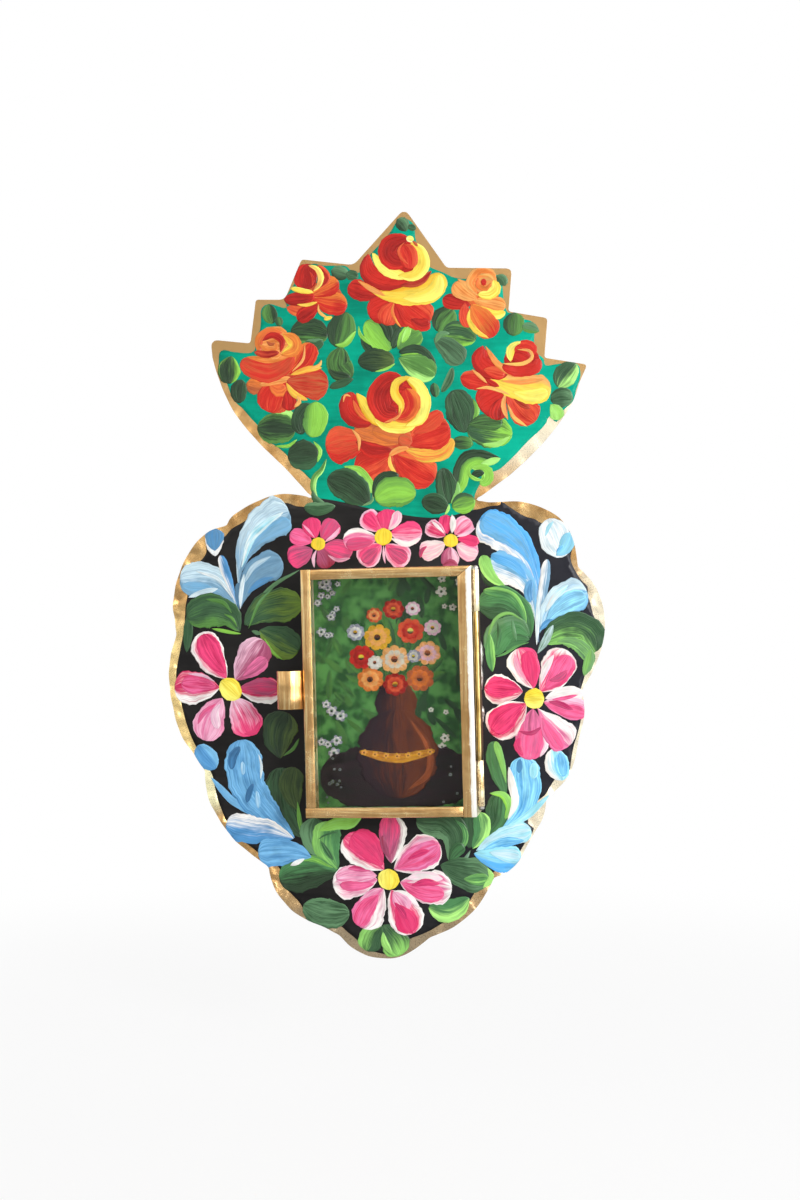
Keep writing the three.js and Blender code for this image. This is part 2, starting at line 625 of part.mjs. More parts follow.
// Finishes
const goldTin = () => new THREE.MeshStandardMaterial({ color: 0xb08a4a, roughness: 0.38, metalness: 0.9 });
const paintedTin = () => new THREE.MeshStandardMaterial({ color: 0x2a2629, roughness: 0.4, metalness: 0 });
const solderGrey = () => new THREE.MeshStandardMaterial({ color: 0x9b9a94, roughness: 0.45, metalness: 0.9 });
const steelWire = () => new THREE.MeshStandardMaterial({ color: 0x8d8a84, roughness: 0.4, metalness: 1 });
const printedCard = () => new THREE.MeshStandardMaterial({ color: 0x46733f, roughness: 0.6, metalness: 0 });
const windowGlass = () => new THREE.MeshStandardMaterial({
  color: 0xe4efe9, roughness: 0.05, metalness: 0, transparent: true, opacity: 0.25,
});

function named(name, geometry, material) {
  const mesh = new THREE.Mesh(geometry, material);
  mesh.name = name;
  return mesh;
}

const box = new THREE.Group();
box.rotation.y = -BOX_TILT;
box.add(named('box_tray', trayGeometry(), paintedTin()));
box.add(named('picture_card', cardGeometry(), printedCard()));
Object.entries({ ...channelGeometries(), ...knuckleGeometries() }).forEach(([name, geometry]) => {
  box.add(named(name, geometry, goldTin()));
});
box.add(named('glass_pane', glassGeometry(), windowGlass()));
box.add(named('hinge_pin', pinGeometry(), steelWire()));
box.add(named('pull_tab', pullGeometry(), goldTin()));
Object.entries(BEADS).forEach(([name, [side, lumps]]) => {
  box.add(named(name, beadGeometry(side, lumps), solderGrey()));
});

const nicho = new THREE.Group();
nicho.add(named('heart_plate', plateGeometry(), paintedTin()));
nicho.add(box);
nicho.add(named('hanging_loop', bare(wireAlong(loopPath(), WIRE_RADIUS, 40)), steelWire()));
nicho.add(named('hanger_solder_left', blobGeometry(-1), solderGrey()));
nicho.add(named('hanger_solder_right', blobGeometry(1), solderGrey()));

export default nicho;
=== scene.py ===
"""Heart nicho: a painted tin heart with a stepped crown and a glazed box, dressed around its CAD frame."""

import math
import random

import bmesh
import bpy
import numpy as np
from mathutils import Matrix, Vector, geometry, noise
from mathutils.bvhtree import BVHTree


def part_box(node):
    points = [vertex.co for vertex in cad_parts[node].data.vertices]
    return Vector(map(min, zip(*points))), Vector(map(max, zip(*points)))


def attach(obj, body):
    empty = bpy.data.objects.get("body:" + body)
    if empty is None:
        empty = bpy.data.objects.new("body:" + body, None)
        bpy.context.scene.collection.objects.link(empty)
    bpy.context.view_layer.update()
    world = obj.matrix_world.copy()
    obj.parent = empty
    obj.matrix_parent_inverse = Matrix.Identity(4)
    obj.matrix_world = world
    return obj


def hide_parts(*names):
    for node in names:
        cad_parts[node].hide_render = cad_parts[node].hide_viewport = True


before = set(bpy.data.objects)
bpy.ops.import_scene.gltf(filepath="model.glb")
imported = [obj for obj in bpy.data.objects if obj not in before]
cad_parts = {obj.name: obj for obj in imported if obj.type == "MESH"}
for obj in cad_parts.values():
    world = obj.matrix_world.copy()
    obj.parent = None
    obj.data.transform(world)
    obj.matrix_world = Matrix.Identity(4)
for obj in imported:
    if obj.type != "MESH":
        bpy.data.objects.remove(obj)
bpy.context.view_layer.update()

MM = 0.001

# The view: a level camera a little to the viewer's right, in mm
VIEW_TURN = math.radians(8)
VIEW_DISTANCE = 600
VIEW_CENTRE = (1.36, -0.5, 32.25)
LENS = 50

# Corners of the tin that are sharper than this stay sharp
SHARP = math.radians(50)

# The tin, in mm
SHEET = 0.5  # its gauge
EDGE_STEP = 0.9  # from place to place along the plate's cut edge
STRAIGHT = 3.0  # sides of that edge that are longer than this stay straight
FIELD_STEP = 1.5  # from place to place over the plate
ROW_STEP = FIELD_STEP * 0.87  # from row to row, for even triangles
FIELD_STRAY = 0.2  # how far those stray, so that no rows show
FIELD_GAP = 0.7  # how far they keep from the edges
SMOOTHING = 1.0  # how far round a place the hammering is evened out

# Paint, in mm
GROUND_COAT = 0.04  # the teal ground
BLACK_COAT = GROUND_COAT * 1.6  # the black ground, which laps over the teal
GROUND_STEP = 1.2  # from place to place along the edge of a ground
COAT = 0.06  # a brush stroke
PRINT_COAT = 0.05  # the print's ink
SUNK = 0.02  # how deep the underside of paint lies in what carries it
STROKE_STEP = 0.95  # from place to place along a stroke
STROKE_GAUGE = 1.1  # from place to place across it
THINNEST_HALF = 0.08  # half the width of a stroke's thinnest end

# The form of a stroke, as shares of its half width or of its coat
SHOULDER = 0.93  # where its full coat ends
RIM_COAT = 0.25  # what lies at its rim
DOME = 0.3  # what its middle has above the coat

# The box on the plate, in mm
BOX_TILT = math.radians(1.5)
LEAN = math.tan(BOX_TILT)  # how far its upright lines lean to the left over 1 mm of height
CARD_FRONT = -1.7
CARD_HALF_WIDTH, CARD_HALF_HEIGHT = 28.9, 41.9

# The folded and rolled pieces, in mm
FOLD = math.radians(40)  # what counts as an edge
BROKEN_EDGE = 0.09  # the width of the bevel along their edges
SWAY = 0.1  # how far hand-folded tin strays from straight
SWAY_START, SWAY_GROWTH = 2.5, 6.0  # how far off the wall that starts, and over what depth it grows
SWAY_SEED = 3  # without one the noise would start from the clock, and no two builds would be alike
CUT = 4.0  # from cut to cut through their faces, so that they can sway


def colour(red, green, blue):
    """A colour as it is written for a screen, 0 to 255, turned into linear light."""
    def linear(value):
        value /= 255
        return value / 12.92 if value <= 0.04045 else ((value + 0.055) / 1.055) ** 2.4
    return (linear(red), linear(green), linear(blue), 1.0)


PAINTS = {
    "magenta": colour(214, 42, 98),
    "hot_pink": colour(240, 72, 128),
    "pink": colour(238, 118, 168),
    "blush": colour(243, 196, 218),
    "fuchsia": colour(200, 42, 104),
    "candy": colour(226, 130, 180),
    "mauve": colour(180, 84, 122),
    "wine": colour(142, 38, 62),
    "white": colour(248, 246, 242),
    "sun": colour(252, 226, 64),
    "amber": colour(232, 176, 44),
    "sky": colour(122, 186, 228),
    "slate": colour(124, 168, 198),
    "steel": colour(94, 136, 166),
    "blue": colour(84, 152, 208),
    "deep_blue": colour(58, 112, 158),
    "bright_blue": colour(88, 176, 242),
    "cyan": colour(160, 232, 250),
    "ice": colour(206, 230, 240),
    "forest": colour(42, 64, 42),
    "pine": colour(56, 92, 60),
    "leaf": colour(88, 140, 66),
    "olive": colour(78, 100, 50),
    "moss": colour(112, 144, 52),
    "fern": colour(78, 138, 84),
    "lime": colour(142, 208, 76),
    "spring": colour(142, 206, 104),
    "pale_lime": colour(178, 240, 130),
    "sage": colour(98, 140, 100),
    "crimson": colour(168, 34, 30),
    "red": colour(206, 46, 36),
    "coral": colour(226, 90, 56),
    "orange": colour(232, 128, 56),
    "peach": colour(244, 176, 100),
    "yellow": colour(250, 216, 80),
    "lemon": colour(255, 246, 118),
    "rust": colour(188, 98, 58),
    "plum": colour(52, 36, 44),
    "clay": colour(112, 58, 38),
    "cream": colour(226, 220, 205),
    "lilac": colour(166, 166, 188),
    "shade": colour(36, 34, 32),
}

# How a brush lays a stroke: where it is fullest, and how blunt its start and its end are
FORMS = {
    "petal": (0.70, 0.80, 0.50),
    "plume": (0.80, 0.85, 0.50),
    "fan": (0.80, 1.40, 0.50),
    "quill": (0.90, 3.20, 0.50),
    "leaf": (0.45, 0.50, 0.70),
    "dab": (0.50, 0.50, 0.50),
    "blade": (0.55, 0.80, 0.80),
    "comma": (0.35, 0.50, 1.00),
    "band": (0.50, 0.42, 0.42),
    "crescent": (0.50, 0.75, 0.75),
}

# How the second colour lies in a stroke, from 0, the first colour, to 1, the second: along runs from 0
# to 1, and across from -1 at the stroke's right edge to 1 at its left
LOADS = {
    "plain": lambda along, across: 0.22,
    "streaks": lambda along, across: 0.48,
    "edges": lambda along, across: 0.04 + abs(across) ** 2.6,
    "rim": lambda along, across: 0.04 + max(abs(across) ** 3.4, max(0.0, along - 0.75) * 4),
    "left": lambda along, across: 0.5 + 0.6 * across,
    "left_edge": lambda along, across: 0.04 + 1.5 * max(0.0, across - 0.2),
    "right": lambda along, across: 0.5 - 0.6 * across,
    "right_edge": lambda along, across: 0.04 + 1.5 * max(0.0, -across - 0.2),
    "left_side": lambda along, across: 0.3 + 0.75 * across,
    "right_side": lambda along, across: 0.3 - 0.75 * across,
    "tip": lambda along, across: 0.05 + along * along,
    "base": lambda along, across: 1.05 - 1.25 * along,
}

# The painting, piece by piece in the order of the work, with each piece's finish. A stroke is its form,
# its load, its two colours, its width, and the places that it passes through, from where the brush is
# set down: x, z, x, z, in mm.
PAINTING = {}
PAINTING["leaves_crown_left", "leaf_paint"] = (
    ("leaf", "right_edge", "forest", "lime", 8.4, -61.2, 111.2, -61.7, 116, -60.8, 121.3),
    ("dab", "left_edge", "forest", "pine", 6.2, -57, 112.7, -58, 108.5, -57.8, 104),
    ("dab", "left", "forest", "leaf", 5.6, -45.4, 132.8, -46.6, 136.5, -46.8, 139.9),
    ("dab", "plain", "pine", "leaf", 3, -43.6, 135.2, -42.6, 131.8),
    ("dab", "left_edge", "lime", "pale_lime", 10.6, -46.5, 98, -42, 96.6, -36.6, 94.6),
    ("dab", "edges", "forest", "leaf", 11.2, -51.2, 94.8, -44, 94.6, -36.8, 94.2),
    ("blade", "plain", "lime", "leaf", 1.4, -44.5, 88.2, -39.5, 88.2, -36.4, 90.6),
    ("dab", "plain", "forest", "pine", 6.6, -34.6, 92.3, -35.3, 98, -31.6, 103.6),
    ("dab", "left_edge", "lime", "leaf", 9.2, -31.2, 91.3, -29.6, 97.5, -29.6, 104.2),
    ("dab", "right_edge", "forest", "pine", 11, -39.8, 84.2, -34, 84.8, -28.3, 85.4),
    ("blade", "plain", "lime", "pale_lime", 1.5, -30.3, 89.8, -27.8, 86.4, -28.8, 82.2),
    ("blade", "left_edge", "leaf", "pale_lime", 2.3, -25.5, 83.4, -27.2, 79.6, -29.8, 76.6, -30.4, 72.6,
     -28.6, 68.4),
    ("blade", "left_edge", "pine", "sage", 2.6, -30.6, 72, -29.6, 68.9, -25.6, 66.2),
    ("leaf", "left_edge", "pine", "sage", 4.9, -33.8, 66, -28, 65.2, -22.2, 66.3),
    ("dab", "right_edge", "forest", "leaf", 10.2, -38.8, 129.6, -31.5, 129.4, -24.8, 128.2),
    ("dab", "left_edge", "pine", "sage", 4.6, -33.5, 125.8, -29.8, 124.6, -26.8, 126.4),
    ("leaf", "streaks", "forest", "leaf", 9.4, -16.2, 112.6, -20.9, 117, -20.2, 124),
    ("blade", "plain", "forest", "olive", 3.4, -24.6, 115.8, -22, 113.6, -16.6, 112.9),
    ("leaf", "plain", "pine", "forest", 3, -24.4, 109.1, -20, 110.6, -15.6, 112.2),
)
PAINTING["leaves_crown_top", "leaf_paint"] = (
    ("dab", "right", "sage", "forest", 5.2, -23.8, 151.5, -20.6, 150.6, -17.4, 149.6),
    ("dab", "plain", "pine", "sage", 3.8, -18.4, 150.2, -13.8, 149),
    ("dab", "left", "forest", "sage", 4.9, 0.3, 169.3, 2.6, 167.2, 3.6, 164.9),
    ("dab", "plain", "pine", "sage", 2.4, 4.2, 166.7, 7.2, 165.7),
    ("dab", "left", "pine", "sage", 3.7, 36.2, 147.9, 38.2, 146.6, 39.3, 144.4),
    ("dab", "left", "leaf", "forest", 7.6, 42.2, 126.4, 42.4, 130.6, 42.8, 134.8),
    ("leaf", "right", "sage", "leaf", 4, 45.2, 129.6, 48.2, 129.2, 51.4, 127.8),
    ("dab", "right", "forest", "leaf", 8.8, 14.9, 128.6, 17.4, 133, 20.6, 136.6),
    ("dab", "right_edge", "pine", "lime", 9.2, 16.6, 127.8, 23, 127.6, 28.8, 125.4),
    ("petal", "streaks", "sage", "forest", 8.4, 13.6, 126.2, 18.8, 122.6, 24.2, 117.2),
    ("blade", "plain", "sage", "leaf", 2.2, 14, 124.4, 16, 127.6, 19.4, 127.8),
)
PAINTING["leaves_crown_middle", "leaf_paint"] = (
    ("dab", "left", "leaf", "forest", 10.4, -21.6, 123.6, -20, 130, -18.4, 136.4),
    ("blade", "plain", "lime", "pale_lime", 2.2, -22.4, 124.6, -18.6, 124.8, -14.8, 129.4),
    ("dab", "plain", "forest", "pine", 6.4, -4.4, 134.4, -1.6, 129.6, -1.2, 124),
    ("leaf", "plain", "forest", "pine", 5.2, -12.6, 127.6, -8.6, 123.4, -2.4, 121),
    ("dab", "left_side", "lime", "leaf", 9.8, -11.2, 132.8, -7, 128.6, -2.2, 122.2),
    ("blade", "plain", "lime", "pale_lime", 1.4, -13.8, 131.2, -12.8, 127.6, -8.4, 123.8),
    ("blade", "plain", "forest", "pine", 3.6, -7.4, 134, -3.4, 130.4, -2, 125),
    ("dab", "plain", "forest", "pine", 3.4, -1.2, 122.8, 0.2, 127, 1.6, 130.4),
    ("petal", "left_edge", "leaf", "lime", 8.4, 0.6, 122.6, 4.2, 126, 8.8, 129),
    ("blade", "left_edge", "lime", "pale_lime", 2.6, 2, 124.6, 3.8, 127.8, 5.2, 131),
    ("dab", "tip", "forest", "olive", 8.4, -14, 118.4, -7, 118.8, -0.6, 118),
    ("blade", "plain", "lime", "pale_lime", 1, -7.8, 114.6, -3.4, 115.6, -0.4, 117.4),
    ("band", "plain", "forest", "pine", 3.6, 1, 121.4, 8.2, 122.2, 14.2, 116.8),
    ("blade", "plain", "lime", "leaf", 1.2, 1.2, 120.3, 7.2, 120.4, 12.2, 118),
    ("petal", "right_edge", "leaf", "pale_lime", 9, 0.9, 119.3, 7, 116.6, 14.2, 113),
    ("dab", "left_edge", "pine", "sage", 3, 16.4, 106.8, 18.9, 110.6, 20.4, 115.6),
    ("dab", "left", "forest", "fern", 3.4, 13.6, 110.2, 14.4, 105),
)
PAINTING["leaves_crown_right", "leaf_paint"] = (
    ("dab", "streaks", "forest", "pine", 11.4, 20.4, 107.4, 23.6, 100, 25.4, 92.2),
    ("blade", "plain", "leaf", "lime", 1.8, 27.8, 104.2, 29.3, 100, 27.6, 95.4),
    ("dab", "tip", "pine", "lime", 11.8, 25.6, 93.4, 33.6, 92.6, 41.8, 91),
    ("petal", "streaks", "forest", "leaf", 6.2, 26.4, 95, 32, 96, 38.4, 95.4),
    ("blade", "streaks", "pale_lime", "lime", 2, 31, 88, 36.4, 87.8, 41, 90.6),
    ("dab", "tip", "forest", "leaf", 5, 20.4, 88.8, 24.2, 88.6, 27.8, 88),
    ("dab", "right_side", "pine", "pale_lime", 8.2, 58, 107.8, 60.6, 112, 64.4, 116.2),
    ("dab", "tip", "pine", "sage", 7, 55.4, 103.2, 59.4, 104.2, 63.4, 103.6),
    ("petal", "streaks", "pale_lime", "lime", 5.2, 55.4, 101.8, 57.4, 99.2, 58.4, 96.2),
    ("blade", "plain", "forest", "pine", 4.6, 21.2, 73, 22.6, 79.4, 27, 83.8, 37.4, 83),
    ("band", "left_edge", "lime", "leaf", 3.6, 20.6, 68.8, 24, 74, 25.2, 79.4, 29, 82, 33.8, 81.2),
    ("blade", "plain", "pale_lime", "lime", 2.6, 30.6, 81, 34.2, 81.6, 37.6, 82.8),
    ("petal", "plain", "lime", "pale_lime", 4.4, 27, 79.6, 32.2, 78.8, 32.8, 75.4, 30.2, 73.6),
    ("dab", "plain", "forest", "pine", 2.8, 27.2, 76.2, 29.6, 77.6, 31.8, 77.6),
    ("blade", "plain", "lime", "pale_lime", 1.4, 26.6, 79.6, 26.4, 77.2, 28.4, 75.6, 31.4, 75),
)
PAINTING["rose_upper_left", "rose_paint"] = (
    ("dab", "streaks", "red", "rust", 9, -38, 141.5, -29, 143, -20, 143),
    ("dab", "tip", "coral", "orange", 3.8, -40.2, 138.6, -36.4, 137.2, -32, 137.2),
    ("petal", "streaks", "crimson", "red", 5.8, -28, 139, -32.2, 136.6, -36.2, 133.8),
    ("petal", "left_edge", "red", "orange", 8.4, -30.6, 141.4, -24.6, 139.8, -17.9, 138.6),
    ("blade", "plain", "peach", "yellow", 1.1, -28.5, 139.4, -28.1, 136.6, -24.6, 134),
    ("dab", "plain", "yellow", "lemon", 1.5, -26.4, 133.9, -23.4, 134.7),
    ("petal", "left", "red", "orange", 7, -31, 142.7, -26, 145.2, -21, 147.4),
    ("comma", "left_edge", "crimson", "coral", 3.4, -29.2, 153.4, -26.8, 151, -25.6, 148.2, -28.6, 145),
    ("dab", "left_edge", "crimson", "red", 9, -33.8, 144.8, -33.2, 149.6, -32.2, 154.2),
    ("crescent", "left_edge", "peach", "lemon", 2.3, -32.2, 153.6, -29.2, 152.4, -27.6, 149.4,
     -28.2, 146.4, -30.4, 144.2),
    ("blade", "plain", "red", "coral", 1.2, -31.8, 151.4, -30.4, 148.6, -30.8, 145.8),
    ("dab", "tip", "crimson", "red", 5.2, -41.2, 141.4, -35.4, 141.6, -29.8, 142.3),
    ("band", "left_edge", "yellow", "lemon", 2, -38.8, 145.6, -34.2, 144.4, -30.4, 143.8),
    ("blade", "plain", "yellow", "peach", 1.3, -36.4, 139.5, -33, 139.2, -28.8, 140.2),
)
PAINTING["rose_upper_right", "rose_paint"] = (
    ("dab", "streaks", "orange", "coral", 11, 23, 141.4, 29, 142.4, 37, 141.4),
    ("petal", "left", "crimson", "red", 5.6, 27, 137.8, 21.4, 138.8, 16.8, 140.4),
    ("petal", "streaks", "red", "coral", 5, 24.8, 138.6, 24.9, 134.4, 26.4, 129.8),
    ("petal", "streaks", "orange", "peach", 5.8, 27.8, 139.4, 33, 138.4, 39.5, 137),
    ("petal", "right_edge", "yellow", "lemon", 3.4, 27.6, 138, 31.2, 135.8, 35.4, 134, 39.4, 134.9),
    ("petal", "tip", "orange", "red", 8.8, 27, 138, 30.8, 132.8, 35.4, 126.4),
    ("blade", "plain", "yellow", "peach", 1.9, 26.6, 136.4, 26.2, 132.6, 29, 128.4, 33.4, 125.8),
    ("petal", "streaks", "orange", "peach", 6.4, 29.2, 139.7, 24.4, 142.6, 20.8, 145.8),
    ("blade", "plain", "peach", "orange", 1.8, 22.2, 147.3, 26.2, 144.4, 29.8, 140.9),
    ("dab", "streaks", "peach", "orange", 9.8, 26.8, 146.2, 31, 146.6, 36.2, 146),
    ("crescent", "left_edge", "orange", "peach", 3.2, 29.4, 141.6, 26.6, 145.8, 30, 150.2, 35, 149.2),
    ("crescent", "left", "yellow", "lemon", 4.2, 29.4, 141.4, 33.6, 141.4, 36, 143.6, 35, 146.6),
    ("crescent", "plain", "orange", "coral", 1.8, 29.8, 147.4, 29.4, 144.6, 32.4, 143.4, 34.2, 145.6),
    ("dab", "plain", "red", "crimson", 2.4, 30.6, 145.8, 32.6, 145.8),
    ("blade", "plain", "peach", "yellow", 1, 30.2, 148.4, 33.2, 148.4, 35.2, 146.4),
)
PAINTING["rose_top", "rose_paint"] = (
    ("petal", "right", "crimson", "red", 7.4, -5.2, 142, -11.4, 143.5, -17.7, 145.6),
    ("petal", "left_edge", "red", "crimson", 9.8, 0.6, 140.8, -4.8, 137.6, -10, 134.8),
    ("petal", "streaks", "red", "coral", 7.6, 0.2, 140.2, -2.4, 136, -3.8, 131.2),
    ("petal", "streaks", "red", "crimson", 7.4, 0.2, 140.4, 2.4, 135.8, 4.4, 130.6),
    ("petal", "left_edge", "red", "coral", 11.8, -0.2, 141.2, 5.6, 136.8, 12.2, 132),
    ("petal", "right_edge", "crimson", "red", 4.8, 5.4, 133.2, 9.2, 131, 12.4, 131.8),
    ("blade", "plain", "coral", "yellow", 1.2, -0.5, 139.8, -1.3, 136, 0, 132.6, 1.9, 130.2),
    ("dab", "streaks", "red", "crimson", 10, -9.4, 149.6, 0, 146.8, 11, 149),
    ("plume", "left_edge", "yellow", "amber", 8.6, -8.8, 143.2, -1, 141.9, 7, 142, 13.2, 144, 16.4, 149.4),
    ("petal", "left", "lemon", "yellow", 5.4, 2.4, 140.8, 9, 141.2, 14.2, 143.6, 15.6, 148.8),
    ("crescent", "right_edge", "red", "crimson", 7.6, -10.2, 157.2, -10.4, 151.6, -5.6, 147.8, 4.6, 146.2),
    ("blade", "streaks", "peach", "orange", 2, -14, 147.6, -9.4, 144.7, -4, 141.8),
    ("blade", "plain", "crimson", "rust", 2.8, 1.6, 145.4, 8.2, 146.4, 12.8, 150.4),
    ("dab", "streaks", "red", "crimson", 11, -3.6, 156.8, 2, 157.2, 8, 156.4),
    ("crescent", "left_edge", "lemon", "yellow", 4.4, -8.7, 157.6, -5.7, 153.2, -1, 149.9, 5.4, 148.2),
    ("crescent", "right_edge", "yellow", "lemon", 4.9, 0.6, 149, 6.6, 148.9, 9.7, 152.6, 9, 157.2,
     5.2, 161),
    ("dab", "right_edge", "crimson", "red", 6.8, 4.2, 162.6, -1.6, 160.9, -3.4, 157, -0.6, 153.9, 4, 153.9),
    ("dab", "left_edge", "red", "coral", 7, 2.6, 160, 4.5, 156, 5, 151.2),
    ("blade", "plain", "coral", "orange", 1.1, 3, 160.9, 0.9, 158.4, 1.7, 155.4, 4.5, 152.9),
    ("dab", "plain", "lemon", "white", 2.3, 3.6, 162.4, 6.4, 161.8),
    ("dab", "plain", "rust", "red", 1.1, 6.2, 161.2, 7.8, 159.4),
)
PAINTING["rose_left", "rose_paint"] = (
    ("dab", "streaks", "red", "rust", 13, -47, 112.6, -40, 112, -32, 113),
    ("dab", "left", "rust", "orange", 6.4, -55.2, 111, -52, 110.4, -48.6, 109.8),
    ("petal", "left_edge", "red", "orange", 8.2, -39.2, 114.2, -34, 119.2, -31, 125.4),
    ("blade", "plain", "peach", "orange", 1, -33.4, 124.8, -34.2, 119.4, -38.2, 115.2),
    ("petal", "left_edge", "red", "coral", 12.6, -40.4, 112.6, -44.4, 106.6, -46.2, 100.4),
    ("petal", "streaks", "coral", "orange", 5.4, -46.6, 110.6, -43.4, 108.6, -40.4, 109.8),
    ("petal", "streaks", "crimson", "red", 5.6, -40.2, 108.4, -39.2, 104.8, -39.6, 101),
    ("band", "streaks", "orange", "peach", 2.8, -50.2, 110.6, -45, 111.8, -38.4, 112.8),
    ("petal", "streaks", "red", "rust", 11.2, -40.2, 111.8, -33, 110.7, -24.8, 110.2),
    ("blade", "streaks", "yellow", "orange", 2.4, -38.8, 114, -32.4, 115.9, -27.2, 116.4),
    ("blade", "plain", "peach", "yellow", 1.3, -31.6, 116, -28.2, 117.2, -27.4, 119.2),
    ("blade", "streaks", "yellow", "orange", 2.4, -40.4, 111.2, -37.4, 107, -32.4, 104.8),
    ("blade", "plain", "peach", "yellow", 1.6, -36.4, 106.4, -35.4, 104.4, -37.4, 102.2),
    ("band", "streaks", "coral", "red", 8.8, -57.4, 119.2, -51, 116.4, -44.6, 116.2, -37.6, 121),
    ("blade", "plain", "orange", "peach", 2.6, -55, 120.9, -47, 119.7, -38.6, 121),
    ("dab", "streaks", "orange", "peach", 12, -50.6, 125.2, -45.6, 126, -39.2, 125.4),
    ("crescent", "right", "orange", "coral", 3.4, -50.4, 121.6, -50.4, 127, -46.6, 130, -41.8, 129.4),
    ("crescent", "left_edge", "orange", "yellow", 5.2, -42.2, 121.4, -37.8, 123.2, -37.6, 126.4,
     -41.6, 129),
    ("crescent", "plain", "crimson", "red", 2.6, -49.2, 126.6, -45.6, 128.6, -42, 126.6, -42.4, 122.4),
    ("crescent", "plain", "orange", "peach", 1.9, -50.6, 125.4, -47.4, 123.6, -44.2, 123.6, -44.8, 126.6),
    ("blade", "plain", "rust", "crimson", 1.3, -47.6, 126.4, -46.2, 125.2, -44.6, 125.6),
    ("band", "streaks", "crimson", "coral", 2.6, -52.2, 122.6, -48.2, 121.6, -43, 122.2),
)
PAINTING["rose_right", "rose_paint"] = (
    ("dab", "streaks", "orange", "yellow", 8, 34, 110.6, 42, 110, 52, 109),
    ("dab", "left_edge", "red", "coral", 7.2, 23.2, 112, 27.8, 111, 33.6, 109.4),
    ("petal", "left_edge", "red", "crimson", 12.2, 40, 106.8, 34.4, 103.4, 30.2, 100.6),
    ("petal", "streaks", "crimson", "red", 6.6, 38.4, 104.4, 36.8, 99.8, 36.8, 96.4),
    ("petal", "streaks", "red", "coral", 10.4, 40.4, 106.6, 44.8, 101, 50, 95.8),
    ("blade", "plain", "crimson", "rust", 2.6, 41.8, 105.6, 45.4, 102.2, 48.2, 100.4),
    ("blade", "plain", "peach", "yellow", 1.4, 40.2, 102, 42.4, 97.4, 47, 94),
    ("blade", "left_edge", "peach", "orange", 1.8, 39.6, 106.4, 38.6, 101.6, 40.2, 96.6),
    ("plume", "left_edge", "yellow", "peach", 10.6, 31.8, 112.8, 40, 109.4, 47.6, 107.5, 55.6, 106.9),
    ("petal", "streaks", "lemon", "yellow", 4.6, 42, 106.4, 48.4, 104.9, 54.6, 106.2),
    ("blade", "streaks", "peach", "orange", 2, 38, 110.4, 45, 109.9, 53, 110.6),
    ("blade", "streaks", "crimson", "red", 2, 31.8, 111.6, 34.4, 109.8, 37.2, 108.4),
    ("blade", "plain", "peach", "lemon", 1.3, 28.8, 107.8, 34, 108, 41, 105.4),
    ("dab", "streaks", "red", "crimson", 9.6, 38.8, 117.8, 45, 118, 51.6, 117.4),
    ("dab", "left_edge", "crimson", "red", 7.6, 31.2, 122.4, 30.8, 118.2, 34.2, 115, 40.4, 113),
    ("crescent", "right_edge", "red", "crimson", 6.4, 31.4, 123.2, 29.9, 118, 33.8, 114.4, 40.8, 113.6),
    ("petal", "left", "red", "coral", 4.8, 31.4, 114.4, 35.4, 113.6, 39.4, 112.6),
    ("blade", "plain", "peach", "orange", 1.3, 27.4, 114.8, 30.2, 112.2, 32.8, 109.7),
    ("blade", "streaks", "orange", "peach", 2.2, 32.2, 123, 36, 117.2, 42, 111.8),
    ("dab", "left_edge", "red", "crimson", 5.8, 38.2, 115.4, 43.8, 114.6, 49.6, 115.2, 51.2, 118.4),
    ("dab", "right_edge", "red", "coral", 5.4, 43.2, 122.6, 47.4, 122.2, 49.6, 119.4),
    ("dab", "streaks", "red", "crimson", 6, 42.2, 120, 45, 118.8, 48.2, 117.8),
    ("crescent", "left_edge", "lemon", "yellow", 3.2, 44.8, 124.4, 41.3, 121.6, 41.2, 117.2),
    ("blade", "plain", "peach", "yellow", 1.4, 43.6, 121.5, 47.8, 121, 48.8, 118.4, 45, 116.3, 38.2, 116.5),
    ("blade", "plain", "red", "coral", 0.9, 45, 123.6, 43.2, 122.2, 42.8, 120.4),
)
